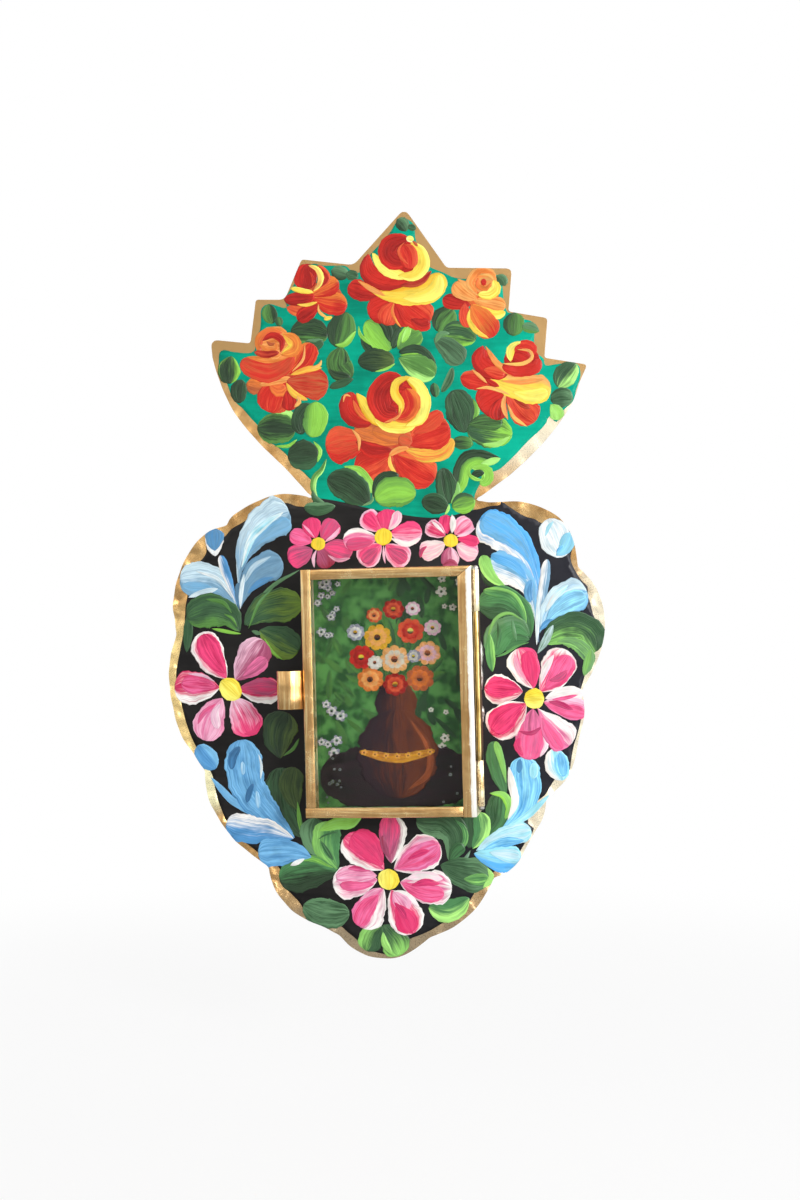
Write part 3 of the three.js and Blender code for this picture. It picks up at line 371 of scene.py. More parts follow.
PAINTING["rose_centre", "rose_paint"] = (
    ("dab", "streaks", "red", "rust", 18, -14, 87, 0, 85.6, 13, 87.4),
    ("petal", "left", "red", "coral", 13.4, -1.2, 84.4, -7.8, 80.4, -14.6, 77.2),
    ("petal", "left_edge", "red", "coral", 12.4, -0.8, 84.8, 6.2, 79.8, 13.8, 75.2),
    ("blade", "streaks", "orange", "coral", 2.2, 0.6, 84.6, 7.4, 83.4, 14.4, 80.6),
    ("blade", "plain", "peach", "yellow", 1.5, -2.2, 85, -2.2, 81, 0.6, 76.4),
    ("petal", "streaks", "yellow", "coral", 6.4, 3, 86.4, 10, 84.4, 16.4, 85.6, 20.6, 90),
    ("petal", "left_edge", "red", "coral", 12.4, 4.2, 88.6, 11.4, 91.6, 19.4, 94.2),
    ("petal", "streaks", "coral", "red", 6, 6.2, 92.2, 12, 95.6, 16.6, 99.6),
    ("petal", "left", "coral", "red", 13.4, -10.8, 89.6, -17.8, 88.8, -25.8, 87.4),
    ("petal", "streaks", "rust", "orange", 7.4, 0.8, 88.4, -7.6, 91.8, -15.4, 94),
    ("crescent", "right_edge", "crimson", "red", 5.4, -14.6, 89.4, -8, 86, -1.4, 86.2),
    ("dab", "streaks", "orange", "rust", 5.6, -8.8, 93.6, -1, 91.4, 5.4, 92),
    ("dab", "streaks", "coral", "rust", 5.4, 0.8, 90.6, 5.8, 88.8),
    ("blade", "plain", "peach", "orange", 1.3, -16.2, 94, -13.6, 90.6, -13.6, 86),
    ("dab", "streaks", "crimson", "red", 15, -6.6, 104.6, 0, 104.8, 7.2, 103.6),
    ("dab", "right_edge", "red", "crimson", 8.6, -16.2, 107.4, -17.2, 102.4, -14.2, 98.6, -8.2, 96.8),
    ("blade", "streaks", "coral", "orange", 2, -15.8, 104.6, -13.4, 99.8, -9, 96.4),
    ("blade", "plain", "peach", "orange", 0.9, -19.4, 103.8, -18.6, 106.4, -16.6, 105.8),
    ("crescent", "right_edge", "yellow", "amber", 4.8, -14.6, 107, -11.2, 102.6, -8, 98, -2.6, 94.8),
    ("crescent", "right_edge", "yellow", "lemon", 4.4, -8, 97.4, -3, 94.8, 3.8, 94.5, 8.6, 97.4),
    ("crescent", "right_edge", "lemon", "amber", 5.6, 3.2, 112.9, 8.2, 108.6, 9.8, 102.8, 8.4, 97.4,
     3.4, 94.8),
    ("dab", "right_edge", "crimson", "red", 9.8, 2.8, 111.6, -3.4, 109.8, -5.8, 104.8, -4, 100, 0.4, 99),
    ("petal", "right_edge", "red", "orange", 7, -1.6, 97.4, 3.6, 98.8, 5.4, 103, 3.4, 108.2),
    ("crescent", "left_edge", "yellow", "amber", 3.2, 5.2, 112.6, 0.2, 110.6, -0.5, 106.6, 1.9, 102.6,
     1.2, 98.4),
    ("blade", "streaks", "peach", "coral", 1, 1.9, 101.4, 0.6, 98, -4.4, 96.1),
    ("dab", "streaks", "peach", "orange", 2.3, -2.6, 84.2, 0.6, 86.2, 4.6, 87),
)
PAINTING["leaves_crown_foot", "leaf_paint"] = (
    ("petal", "plain", "lime", "pale_lime", 3.8, -19.2, 80.6, -13, 78.4, -8.2, 70.8),
    ("leaf", "edges", "forest", "pine", 11.6, -25.2, 76.4, -17.2, 73.4, -9.8, 66.8),
    ("blade", "plain", "sage", "pale_lime", 1, -8.6, 71.4, -8.8, 68, -12.4, 66.2),
    ("dab", "plain", "forest", "pine", 5, -7.8, 69, -5, 75.6, 1, 77.2),
    ("dab", "edges", "lime", "leaf", 11.2, -7.6, 68.4, -1, 71.2, 7.2, 70.4),
    ("dab", "streaks", "forest", "pine", 7.6, 16.8, 79.6, 18, 73.6, 19.4, 66.8),
    ("leaf", "left_edge", "forest", "pine", 7.4, 9.2, 67.8, 13.6, 67, 19.2, 64.8),
    ("blade", "plain", "pale_lime", "lime", 1.1, 17.6, 62.8, 18.8, 64.6, 19.2, 66.6),
    ("blade", "plain", "spring", "fern", 1.9, 22.3, 74.8, 22.2, 70.6, 19.8, 66.8),
    ("dab", "left", "lime", "pine", 7.4, 20.2, 65.6, 24.4, 66.9, 28.6, 68),
)
PAINTING["plumes_upper_left", "plume_paint"] = (
    ("petal", "plain", "white", "ice", 7, -66.8, 48.2, -67.2, 52.8, -67.2, 57.4),
    ("petal", "streaks", "blue", "steel", 7.2, -67, 50.2, -67.2, 54.2, -67, 58.4),
    ("fan", "right_side", "slate", "ice", 13, -58.2, 28.2, -62.4, 35.2, -68.6, 39.4, -80.2, 39.6),
    ("blade", "streaks", "sky", "slate", 4.4, -68, 36.8, -74, 36.8, -79.6, 37.6),
    ("blade", "plain", "ice", "white", 2.4, -77, 33.2, -72, 34.8, -65.8, 36.4),
    ("blade", "streaks", "ice", "white", 1.4, -60.4, 33, -66, 40, -74, 42.8),
    ("fan", "left_side", "blue", "white", 3.6, -58.4, 29.4, -60.8, 36.6, -62.8, 42.2, -65, 48.6),
    ("quill", "left_side", "slate", "ice", 14.6, -57.6, 30, -57.9, 42, -55.6, 50.4, -51.2, 57.2,
     -45.6, 61.8, -39.2, 64.4),
    ("quill", "streaks", "sky", "slate", 6.2, -56.6, 43, -52.4, 52, -46.2, 57, -38.6, 60.4),
    ("blade", "streaks", "cyan", "white", 3, -57, 44, -53.4, 54.4, -47.4, 60.4, -41.4, 64.2),
    ("blade", "streaks", "ice", "slate", 3, -58.2, 42.6, -57.4, 52.6, -54, 60.4),
    ("fan", "streaks", "slate", "steel", 11.2, -57, 29.8, -54.8, 37.6, -50.4, 42.8, -41.8, 46.6),
    ("blade", "streaks", "ice", "slate", 2, -56.4, 38, -52.4, 44.4, -46, 48.2),
    ("blade", "streaks", "blue", "steel", 2.4, -54.8, 34.6, -50.4, 38.4, -45, 40.6),
    ("fan", "plain", "steel", "deep_blue", 2.2, -57.8, 28.4, -58.4, 33, -58.2, 38.6),
    ("blade", "plain", "ice", "white", 1.7, -57.4, 29, -57, 36, -56, 41.8),
)
PAINTING["plumes_upper_right", "plume_paint"] = (
    ("quill", "left_side", "bright_blue", "white", 13.2, 51.2, 17, 50.9, 34, 47.8, 45.2, 41.2, 54,
     29.8, 61),
    ("quill", "streaks", "sky", "bright_blue", 9.4, 50.9, 34, 48.2, 46, 42, 54.6, 31, 61.8),
    ("quill", "left_side", "sky", "white", 11.4, 50.4, 18.6, 49.2, 31.6, 44.8, 40.2, 33.2, 46),
    ("petal", "streaks", "bright_blue", "sky", 4.4, 47, 39.6, 42.2, 45, 34.2, 48.4),
    ("dab", "streaks", "blue", "sky", 3.2, 48.2, 31.4, 47.4, 35, 48.4, 39.4),
    ("plume", "left_side", "slate", "white", 3.6, 51.2, 19.8, 52.6, 34, 54.2, 46.8),
    ("fan", "left_side", "sky", "ice", 12.4, 51.6, 20.6, 54.8, 27.8, 60.6, 32.6, 68.4, 35.2),
    ("fan", "streaks", "sky", "cyan", 7.6, 52.8, 22.6, 56.6, 27.6, 61.4, 31, 68, 33.6),
    ("blade", "streaks", "white", "cyan", 2.2, 53.6, 28, 57, 33.4, 61.6, 37.6),
    ("blade", "plain", "blue", "sky", 2.2, 51.6, 21.6, 54, 24, 56.8, 25.2),
    ("blade", "plain", "ice", "white", 1.5, 51.2, 36, 50.8, 26, 50.5, 16.2),
    ("dab", "streaks", "ice", "white", 11.4, 54.2, 61, 56.8, 55, 60.2, 47.6),
    ("petal", "streaks", "cyan", "sky", 5.4, 57.4, 48, 60.6, 51, 62.6, 56.2),
    ("dab", "streaks", "bright_blue", "cyan", 1.6, 57.6, 49, 60, 51.6),
    ("blade", "streaks", "cyan", "ice", 1.4, 53.6, 55, 54.6, 58, 56.4, 60.2),
)
PAINTING["leaves_left", "leaf_paint"] = (
    ("blade", "plain", "pine", "forest", 3.6, -76.4, 29, -77, 21, -77.6, 13),
    ("petal", "left_edge", "pine", "leaf", 12.6, -57.6, 20.8, -61.8, 26.6, -69.4, 28.4, -77.4, 25.6),
    ("blade", "plain", "lime", "leaf", 1.4, -57.2, 19.9, -62, 20.6, -68, 21.8),
    ("blade", "plain", "leaf", "pine", 1.6, -60.6, 27.4, -64, 31.4, -70.4, 32.6),
    ("blade", "plain", "leaf", "lime", 1, -58.6, 22.4, -60.6, 25.6, -63.6, 27.2),
    ("blade", "plain", "sage", "leaf", 1.5, -54.8, 22.6, -50.2, 32, -44.8, 37.8, -35.4, 43.2),
    ("petal", "tip", "pine", "moss", 12.4, -56, 23.2, -48, 29.2, -34.6, 31.2),
    ("blade", "plain", "leaf", "sage", 1.2, -54.4, 21.8, -50.6, 31, -45.4, 36.4),
    ("petal", "right_side", "pine", "moss", 11.8, -50.4, 21.2, -43.4, 17.8, -35.8, 13.6),
    ("blade", "plain", "lime", "leaf", 1, -48.4, 18.2, -45.6, 13.6, -41.8, 10.6),
    ("blade", "plain", "sage", "pine", 1.6, -53.2, 21, -49.8, 19.8),
    ("petal", "right_edge", "forest", "olive", 12.8, -42.6, -25.4, -43.4, -17, -40.2, -8.6),
    ("blade", "plain", "leaf", "olive", 1.3, -41.4, -24.4, -37.8, -21.8, -35.6, -18),
    ("petal", "streaks", "forest", "pine", 12.6, -34.4, -54, -41, -44, -42.6, -28.6),
    ("petal", "streaks", "forest", "olive", 9, -36.4, -44, -38.6, -36, -37.6, -28.4),
    ("blade", "plain", "leaf", "lime", 1.7, -36.2, -41, -35.4, -48, -33.9, -54.2),
)
PAINTING["leaves_right", "leaf_paint"] = (
    ("blade", "plain", "forest", "pine", 3, 30.6, 42.4, 33.4, 38.8, 38.6, 36.4),
    ("plume", "left_edge", "spring", "pale_lime", 4.6, 39.4, 37, 34.2, 40.8, 31, 48.2),
    ("petal", "right_side", "pine", "fern", 12.4, 48, 18.6, 45, 26.2, 39, 30.8, 29.6, 30.8),
    ("petal", "right_edge", "fern", "spring", 3.8, 46.8, 23.4, 44.8, 29.4, 40.4, 34, 31.4, 35.6),
    ("petal", "streaks", "fern", "pine", 7, 48, 18.2, 42.6, 18.8, 37, 15.8),
    ("petal", "right_side", "fern", "sage", 9.6, 48, 19.6, 43.4, 23, 37.4, 20.4, 34.4, 12.6),
    ("blade", "streaks", "spring", "sage", 1.3, 45.6, 25, 40.6, 27.6, 35.6, 25.2, 32.8, 18),
    ("blade", "left_edge", "fern", "spring", 3.6, 33.6, 20.4, 34, 12, 34.7, 6.6),
    ("blade", "streaks", "sage", "fern", 1.4, 41.8, 25.4, 42.4, 21, 43.4, 17.6),
    ("blade", "streaks", "pine", "fern", 1.6, 36.6, 24.4, 37.2, 20, 36.4, 14.8),
    ("blade", "plain", "fern", "spring", 1, 47.8, 17.2, 43.4, 15.8, 39.4, 13.2, 35.6, 11.8),
    ("petal", "right_side", "pine", "spring", 13.8, 52.4, 17, 59.6, 21.2, 67, 20.6, 71.4, 13.8),
    ("petal", "streaks", "sage", "spring", 5, 57.6, 17.4, 62.6, 17.4, 67.6, 14.2, 70.2, 9.4),
    ("blade", "streaks", "spring", "sage", 3.6, 69.8, 15.2, 68.8, 10, 67.2, 5.4),
    ("blade", "streaks", "sage", "ice", 2.8, 50.8, 13.2, 53.6, 17.8, 56.4, 23.4),
)
PAINTING["leaves_foot_left", "leaf_paint"] = (
    ("petal", "left_side", "pine", "sage", 9.8, -24.4, -60.8, -30, -55, -29.8, -46.8),
    ("petal", "left_side", "fern", "spring", 10.6, -21.4, -65.2, -25.4, -57.6, -25, -47.8),
    ("blade", "streaks", "pine", "fern", 2, -27.6, -55, -25.6, -58.4, -23, -62),
    ("blade", "streaks", "lime", "spring", 4.8, -28.2, -51.4, -22.4, -48.8, -16.8, -48, -12, -44.6),
    ("blade", "streaks", "pine", "fern", 0.9, -28.4, -54.4, -25.6, -52.6, -21.4, -51.8),
    ("petal", "right_side", "forest", "fern", 12.6, -21.2, -66, -30.6, -66.6, -43, -69.2),
    ("blade", "streaks", "fern", "lime", 2.4, -23, -64.6, -30, -61.6, -37, -61.8),
    ("dab", "streaks", "pine", "sage", 10.8, -34.2, -78.8, -26, -81.4, -17, -81),
    ("blade", "plain", "sage", "fern", 1.1, -33.8, -78, -28.4, -76.2, -22.8, -76.8),
)
PAINTING["leaves_foot_right", "leaf_paint"] = (
    ("petal", "streaks", "fern", "pine", 6.4, 39.6, -37.8, 36.4, -28, 34.8, -18.2),
    ("plume", "plain", "spring", "fern", 2.6, 39.6, -33, 38.2, -26, 35.8, -18.2),
    ("petal", "right_side", "pine", "fern", 10.4, 30, -54.2, 36.8, -47, 37.6, -36.4),
    ("blade", "right_edge", "spring", "lime", 3, 33.8, -36.8, 38.6, -37.4, 40.8, -41.6, 39.2, -46),
    ("petal", "plain", "pine", "forest", 8.6, 26.2, -56.6, 27.6, -50, 27, -44.4),
    ("petal", "right_side", "fern", "pale_lime", 6.4, 27.6, -56.8, 31, -50.2, 30, -43.6),
    ("petal", "left_edge", "pine", "sage", 12.4, 19.2, -61.4, 21.4, -53.2, 17, -47.6, 7.2, -47),
    ("blade", "plain", "fern", "spring", 2, 20.4, -60, 24.8, -54.4, 24.6, -49.6, 21.4, -46.6),
    ("petal", "streaks", "fern", "forest", 4.8, 19.4, -61, 22, -57.4, 24.6, -55.4),
    ("blade", "plain", "sage", "ice", 1.4, 21.4, -64, 24.8, -60.8, 26.8, -57.4),
    ("petal", "tip", "pine", "sage", 12.4, 16, -62.8, 24.4, -65.4, 33.6, -67.2),
    ("petal", "streaks", "fern", "spring", 4.4, 24.4, -67.6, 28.8, -67.8, 33.4, -67),
    ("blade", "plain", "pale_lime", "spring", 2.2, 33, -63.4, 34.4, -67, 31.4, -70.6),
)
PAINTING["leaves_tip", "leaf_paint"] = (
    ("petal", "right_side", "pine", "spring", 9, -5.2, -85, -8.6, -88.4, -10.8, -94.4),
    ("petal", "tip", "pine", "spring", 10.6, -4.8, -84.8, -1.4, -89.4, 1.6, -95.6),
    ("blade", "streaks", "spring", "pale_lime", 2.6, -4.8, -87.4, -4.2, -91.2, -1.6, -95.2),
    ("leaf", "right_side", "fern", "pale_lime", 8.2, 11.8, -78, 19.4, -79.2, 26.4, -74.4),
)
PAINTING["flower_small_left", "petal_paint"] = (
    ("petal", "tip", "mauve", "wine", 6.8, -28.6, 51, -26.4, 48, -24.8, 43.8),
    ("blade", "plain", "blush", "mauve", 1.3, -29.2, 50.4, -30.4, 47.4, -30, 44),
    ("petal", "tip", "mauve", "hot_pink", 8.4, -30.6, 50.6, -34.6, 48.8, -39.6, 46.6),
    ("petal", "streaks", "mauve", "hot_pink", 7.6, -26.8, 51.6, -21.4, 50.8, -16, 49.2),
    ("blade", "streaks", "mauve", "blush", 1.5, -25, 48.6, -21.4, 46.6, -16.8, 47.4),
    ("petal", "streaks", "hot_pink", "pink", 6.4, -30.8, 53.2, -34.4, 54.6, -39, 56.4),
    ("petal", "streaks", "hot_pink", "mauve", 7.4, -27.4, 54.2, -24.8, 57.4, -22.2, 61.2),
    ("blade", "streaks", "pink", "blush", 1.6, -26.2, 53.2, -22.4, 55.8, -20.6, 58.6),
    ("petal", "streaks", "hot_pink", "magenta", 7, -29.2, 54.6, -30.6, 57.6, -31.4, 62.2),
    ("blade", "plain", "pink", "blush", 0.9, -29.8, 54.8, -32.4, 57.8, -34.4, 59.8),
    ("dab", "plain", "sun", "amber", 5.3, -28.5, 50.2, -28.5, 55),
)
PAINTING["flower_small_right", "petal_paint"] = (
    ("petal", "left_side", "mauve", "blush", 7, 19.6, 51.4, 19.4, 48, 19.8, 44.2),
    ("blade", "streaks", "wine", "mauve", 3.6, 16.8, 44.6, 19.6, 45.2, 22.4, 44.6),
    ("petal", "streaks", "white", "pink", 7.4, 21.8, 52.2, 25.6, 50, 29.6, 49),
    ("petal", "streaks", "hot_pink", "magenta", 4, 22, 54, 25.4, 53.9, 30, 52.8),
    ("petal", "streaks", "hot_pink", "blush", 7.4, 21.2, 55.6, 24, 58.4, 27, 60.8),
    ("blade", "plain", "blush", "white", 1.3, 21.8, 54.9, 25.4, 56, 28.6, 58),
    ("petal", "streaks", "magenta", "hot_pink", 5.2, 18.6, 56, 17.8, 58.8, 18.2, 62.8),
    ("blade", "plain", "white", "blush", 2.4, 20.2, 56.2, 20.6, 59.6, 20.2, 62.8),
    ("petal", "rim", "magenta", "blush", 6.4, 17.8, 55.2, 14.6, 57.2, 10.8, 59.2),
    ("blade", "plain", "white", "blush", 1.2, 17.4, 56.2, 15, 58.6, 12.8, 60.6),
    ("petal", "streaks", "white", "pink", 7.4, 17.8, 52.6, 13, 50.4, 8.6, 48.8),
    ("blade", "streaks", "mauve", "magenta", 1.6, 11.2, 51.6, 9.2, 50, 8.8, 47.4),
    ("dab", "plain", "sun", "amber", 5.2, 19.8, 51.1, 19.8, 56),
)
PAINTING["flower_small_middle", "petal_paint"] = (
    ("petal", "rim", "hot_pink", "blush", 8.8, -5.4, 52.4, -9.4, 49, -13, 45.4),
    ("petal", "streaks", "mauve", "hot_pink", 5.6, -6.6, 51, -9.6, 48.6, -12.4, 46),
    ("petal", "rim", "hot_pink", "blush", 8.8, -3.8, 52.2, -0.4, 49, 4.6, 46),
    ("petal", "streaks", "mauve", "hot_pink", 5.6, -2.8, 50.8, 0.2, 48.6, 3.8, 46.4),
    ("blade", "plain", "blush", "pink", 0.9, -4.6, 51.8, -4.6, 48.6, -4, 45.4),
    ("petal", "right_edge", "pink", "white", 8, -6.6, 54.4, -12.4, 54.4, -19.4, 53.8),
    ("petal", "streaks", "hot_pink", "mauve", 4.8, -8.2, 53.4, -13, 52.6, -18.4, 52.2),
    ("petal", "rim", "hot_pink", "blush", 7.8, -5.6, 57, -8.8, 60.4, -12, 63.8),
    ("petal", "streaks", "magenta", "hot_pink", 5, -6.8, 58.6, -9.4, 61.2, -11.6, 63.2),
    ("petal", "streaks", "hot_pink", "magenta", 7.4, -4.4, 57.2, -3.4, 61, -3.8, 65),
    ("petal", "streaks", "white", "pink", 3.8, -2.8, 57.4, -0.2, 60.6, 0.6, 64.4),
    ("petal", "right_side", "hot_pink", "blush", 8.2, -2.2, 56.2, 3.4, 56.4, 9.4, 56.8),
    ("blade", "plain", "white", "blush", 2, -2.2, 54.6, 3.8, 52.3, 9, 54.6),
    ("dab", "plain", "sun", "amber", 6.4, -4.7, 51.9, -4.7, 58.2),
)
PAINTING["plumes_lower_left", "plume_paint"] = (
    ("dab", "left_edge", "blue", "sky", 8, -73.4, -21, -70.6, -24.8, -66.6, -29.4),
    ("blade", "plain", "sky", "blue", 2.8, -50.4, -47.2, -60.6, -40.8, -68.4, -32.6),
    ("plume", "streaks", "blue", "sky", 14, -37.2, -54.2, -46, -46.6, -54.8, -35, -57, -18.6),
    ("blade", "plain", "ice", "white", 1, -50.6, -24, -49.6, -28, -49.9, -33),
    # Painted shade and painted highlight of two pits in the paint: each dark dab has a pale dab beside it
    ("dab", "plain", "deep_blue", "blue", 3.4, -60.8, -29.6, -60.2, -25, -57.6, -21.2),
    ("dab", "plain", "sky", "ice", 1.8, -56.4, -31.6, -56.6, -26.6),
    ("dab", "plain", "deep_blue", "blue", 2.4, -55, -41.6, -54, -37.8, -52.6, -34.6),
    ("dab", "plain", "sky", "ice", 2, -51.4, -37.2, -50.6, -43.6),
    ("plume", "right_side", "blue", "white", 10.6, -37.6, -54.4, -46.4, -51.8, -54, -51.4, -62.8, -49.6),
    ("plume", "streaks", "blue", "sky", 10.6, -31, -61, -38.2, -59.2, -50.8, -60),
    ("blade", "plain", "white", "ice", 1.8, -33.6, -61.6, -35.8, -62.8, -38.8, -64.2),
)
PAINTING["plumes_lower_right", "plume_paint"] = (
    ("dab", "right_edge", "cyan", "white", 8.6, 56.2, -20.6, 57.6, -26, 59.8, -31.8),
    ("dab", "streaks", "bright_blue", "cyan", 5.4, 58.6, -22, 59.2, -26.4, 60.2, -30.4),
    ("fan", "streaks", "bright_blue", "cyan", 11.4, 36.6, -51.2, 44.2, -44, 46.6, -36, 45.4, -23.6),
    ("blade", "plain", "white", "ice", 3, 40.2, -46.2, 42.8, -40, 41.6, -33, 40.6, -27.2),
    # Painted shade and painted highlight of a pit in the paint: a dark dab with a pale dab beside it
    ("dab", "plain", "blue", "deep_blue", 2.2, 44.2, -29.4, 44.4, -26.6, 44.6, -24.4),
    ("dab", "plain", "cyan", "ice", 3.4, 49.2, -31.4, 49.8, -25.4),
    ("blade", "plain", "cyan", "ice", 2.4, 37.6, -50.4, 47, -44.6, 55.2, -36.8),
    ("plume", "streaks", "cyan", "ice", 7.6, 28.8, -57.4, 38, -52.6, 48.6, -49.6),
    ("blade", "streaks", "bright_blue", "cyan", 3.4, 31.6, -57, 38.4, -54.4, 46, -53.4),
    ("plume", "right_side", "cyan", "bright_blue", 9.8, 28, -58.4, 36.2, -60.2, 45.4, -60.4),
    ("plume", "streaks", "cyan", "ice", 5, 33.6, -57.8, 39.6, -58.8, 44.8, -59.4),
)
PAINTING["flower_left", "petal_paint"] = (
    ("petal", "left_edge", "magenta", "white", 12.4, -65.2, 0.2, -73.4, 0.2, -82.2, 0),
    ("petal", "streaks", "magenta", "pink", 6.8, -66.4, 0.6, -73.4, 1.2, -79.6, 1.6),
    ("blade", "plain", "blush", "mauve", 1.2, -67, 2.4, -71.4, 4.6, -77, 5.2),
    ("petal", "streaks", "pink", "blush", 11.6, -64.2, -3.6, -68.4, -10.8, -70.8, -19.2),
    ("petal", "plain", "blush", "white", 3.4, -65, -5.6, -67, -9.8, -65.8, -14.8),
    ("blade", "streaks", "pink", "magenta", 2, -66.6, -5.6, -71.4, -9.4, -73.4, -13.2),
    ("petal", "base", "hot_pink", "blush", 11.8, -60.2, -3.2, -56.2, -10, -53.2, -17.2),
    ("blade", "streaks", "hot_pink", "magenta", 2.2, -56, -16.6, -52, -15.8, -50.2, -12),
    ("petal", "right_edge", "magenta", "white", 9.8, -58, -0.6, -51.2, -0.8, -42.6, -0.6),
    ("petal", "streaks", "mauve", "magenta", 6.2, -57.6, 0.2, -51, 0.6, -43.6, 0.6),
    ("petal", "left_side", "mauve", "blush", 12.2, -59.4, 3, -54.4, 9.4, -48.8, 17.6),
    ("petal", "streaks", "mauve", "pink", 5.6, -56.8, 4.2, -52.2, 7, -47.8, 11),
    ("petal", "rim", "hot_pink", "white", 11.6, -62.6, 3.6, -68.2, 10.8, -72.2, 20.4),
    ("petal", "streaks", "magenta", "hot_pink", 8.6, -63, 5.4, -67.8, 12, -71.8, 19.6),
    ("dab", "right", "sun", "lemon", 7.8, -64.6, 2.8, -61.2, -0.3, -57.8, -3.6),
)
PAINTING["flower_right", "petal_paint"] = (
    ("petal", "streaks", "pink", "hot_pink", 10.6, 49.2, -7, 48.4, -15.6, 47.4, -24.6),
    ("petal", "streaks", "mauve", "pink", 6.4, 49.2, -6.4, 48.8, -10.8, 48.6, -15.6),
    ("blade", "streaks", "fuchsia", "mauve", 1.6, 44.2, -14.6, 48.6, -15.2, 52.4, -12.8),
    ("blade", "plain", "blush", "white", 1.8, 52.6, -15, 53.9, -19.4, 51.6, -23.6),
    ("blade", "streaks", "hot_pink", "fuchsia", 2.8, 44.6, -16.6, 43.6, -19.6, 45.6, -23.2),
    ("fan", "left_side", "pink", "white", 11.4, 50.6, -6, 56.2, -12.8, 62.2, -19.4),
    ("petal", "streaks", "pink", "hot_pink", 4.8, 52.4, -9.6, 55.8, -15, 59.6, -20.6),
    ("petal", "plain", "white", "blush", 5.6, 53.4, -2.8, 59.6, -1.2, 67.2, -1.2),
    ("petal", "left_edge", "pink", "blush", 8, 53, -4, 60.2, -5.6, 68.8, -7.4),
    ("petal", "streaks", "hot_pink", "pink", 4.6, 54, -4.6, 60.4, -6.8, 68.6, -8.2),
    ("blade", "streaks", "hot_pink", "pink", 1.4, 56, -3.2, 60.2, -2.6, 65, -1.4),
    ("blade", "streaks", "fuchsia", "mauve", 2.2, 54.8, -3.8, 59, -4.8, 63.4, -6.6),
    ("petal", "rim", "hot_pink", "white", 12.2, 51.8, -0.4, 56.8, 6, 60.6, 14.8),
    ("petal", "streaks", "hot_pink", "pink", 8, 53.6, 0.6, 58.6, 6, 62, 12.6),
    ("blade", "streaks", "white", "blush", 2.6, 52, 2.4, 53.6, 7.8, 56.6, 12.8),
    ("blade", "streaks", "mauve", "hot_pink", 2.6, 55, 3.6, 58.6, 4.6, 61.4, 7.4),
    ("petal", "left_side", "hot_pink", "white", 11.4, 49.4, 0.6, 46.8, 7, 43.8, 15),
    ("petal", "streaks", "hot_pink", "magenta", 6, 49.2, 1.4, 48.2, 7.2, 47.2, 14),
    ("blade", "streaks", "blush", "hot_pink", 2.2, 47, 3.4, 43.8, 8, 42.6, 13),
    ("petal", "edges", "magenta", "white", 10.6, 45.6, -0.4, 39, 0.2, 31.8, 0.8),
    ("petal", "streaks", "magenta", "hot_pink", 7.6, 44.8, 0.4, 39, 1, 32.6, 1.4),
    ("petal", "edges", "magenta", "white", 12.6, 46.8, -4.6, 40.6, -9.6, 34.2, -15.6),
    ("petal", "streaks", "magenta", "hot_pink", 9.4, 45.4, -5.2, 39.8, -9, 34.6, -14.4),
    ("dab", "right", "sun", "lemon", 7.4, 46, -3.2, 49.4, -2.9, 53.2, -2.8),
)
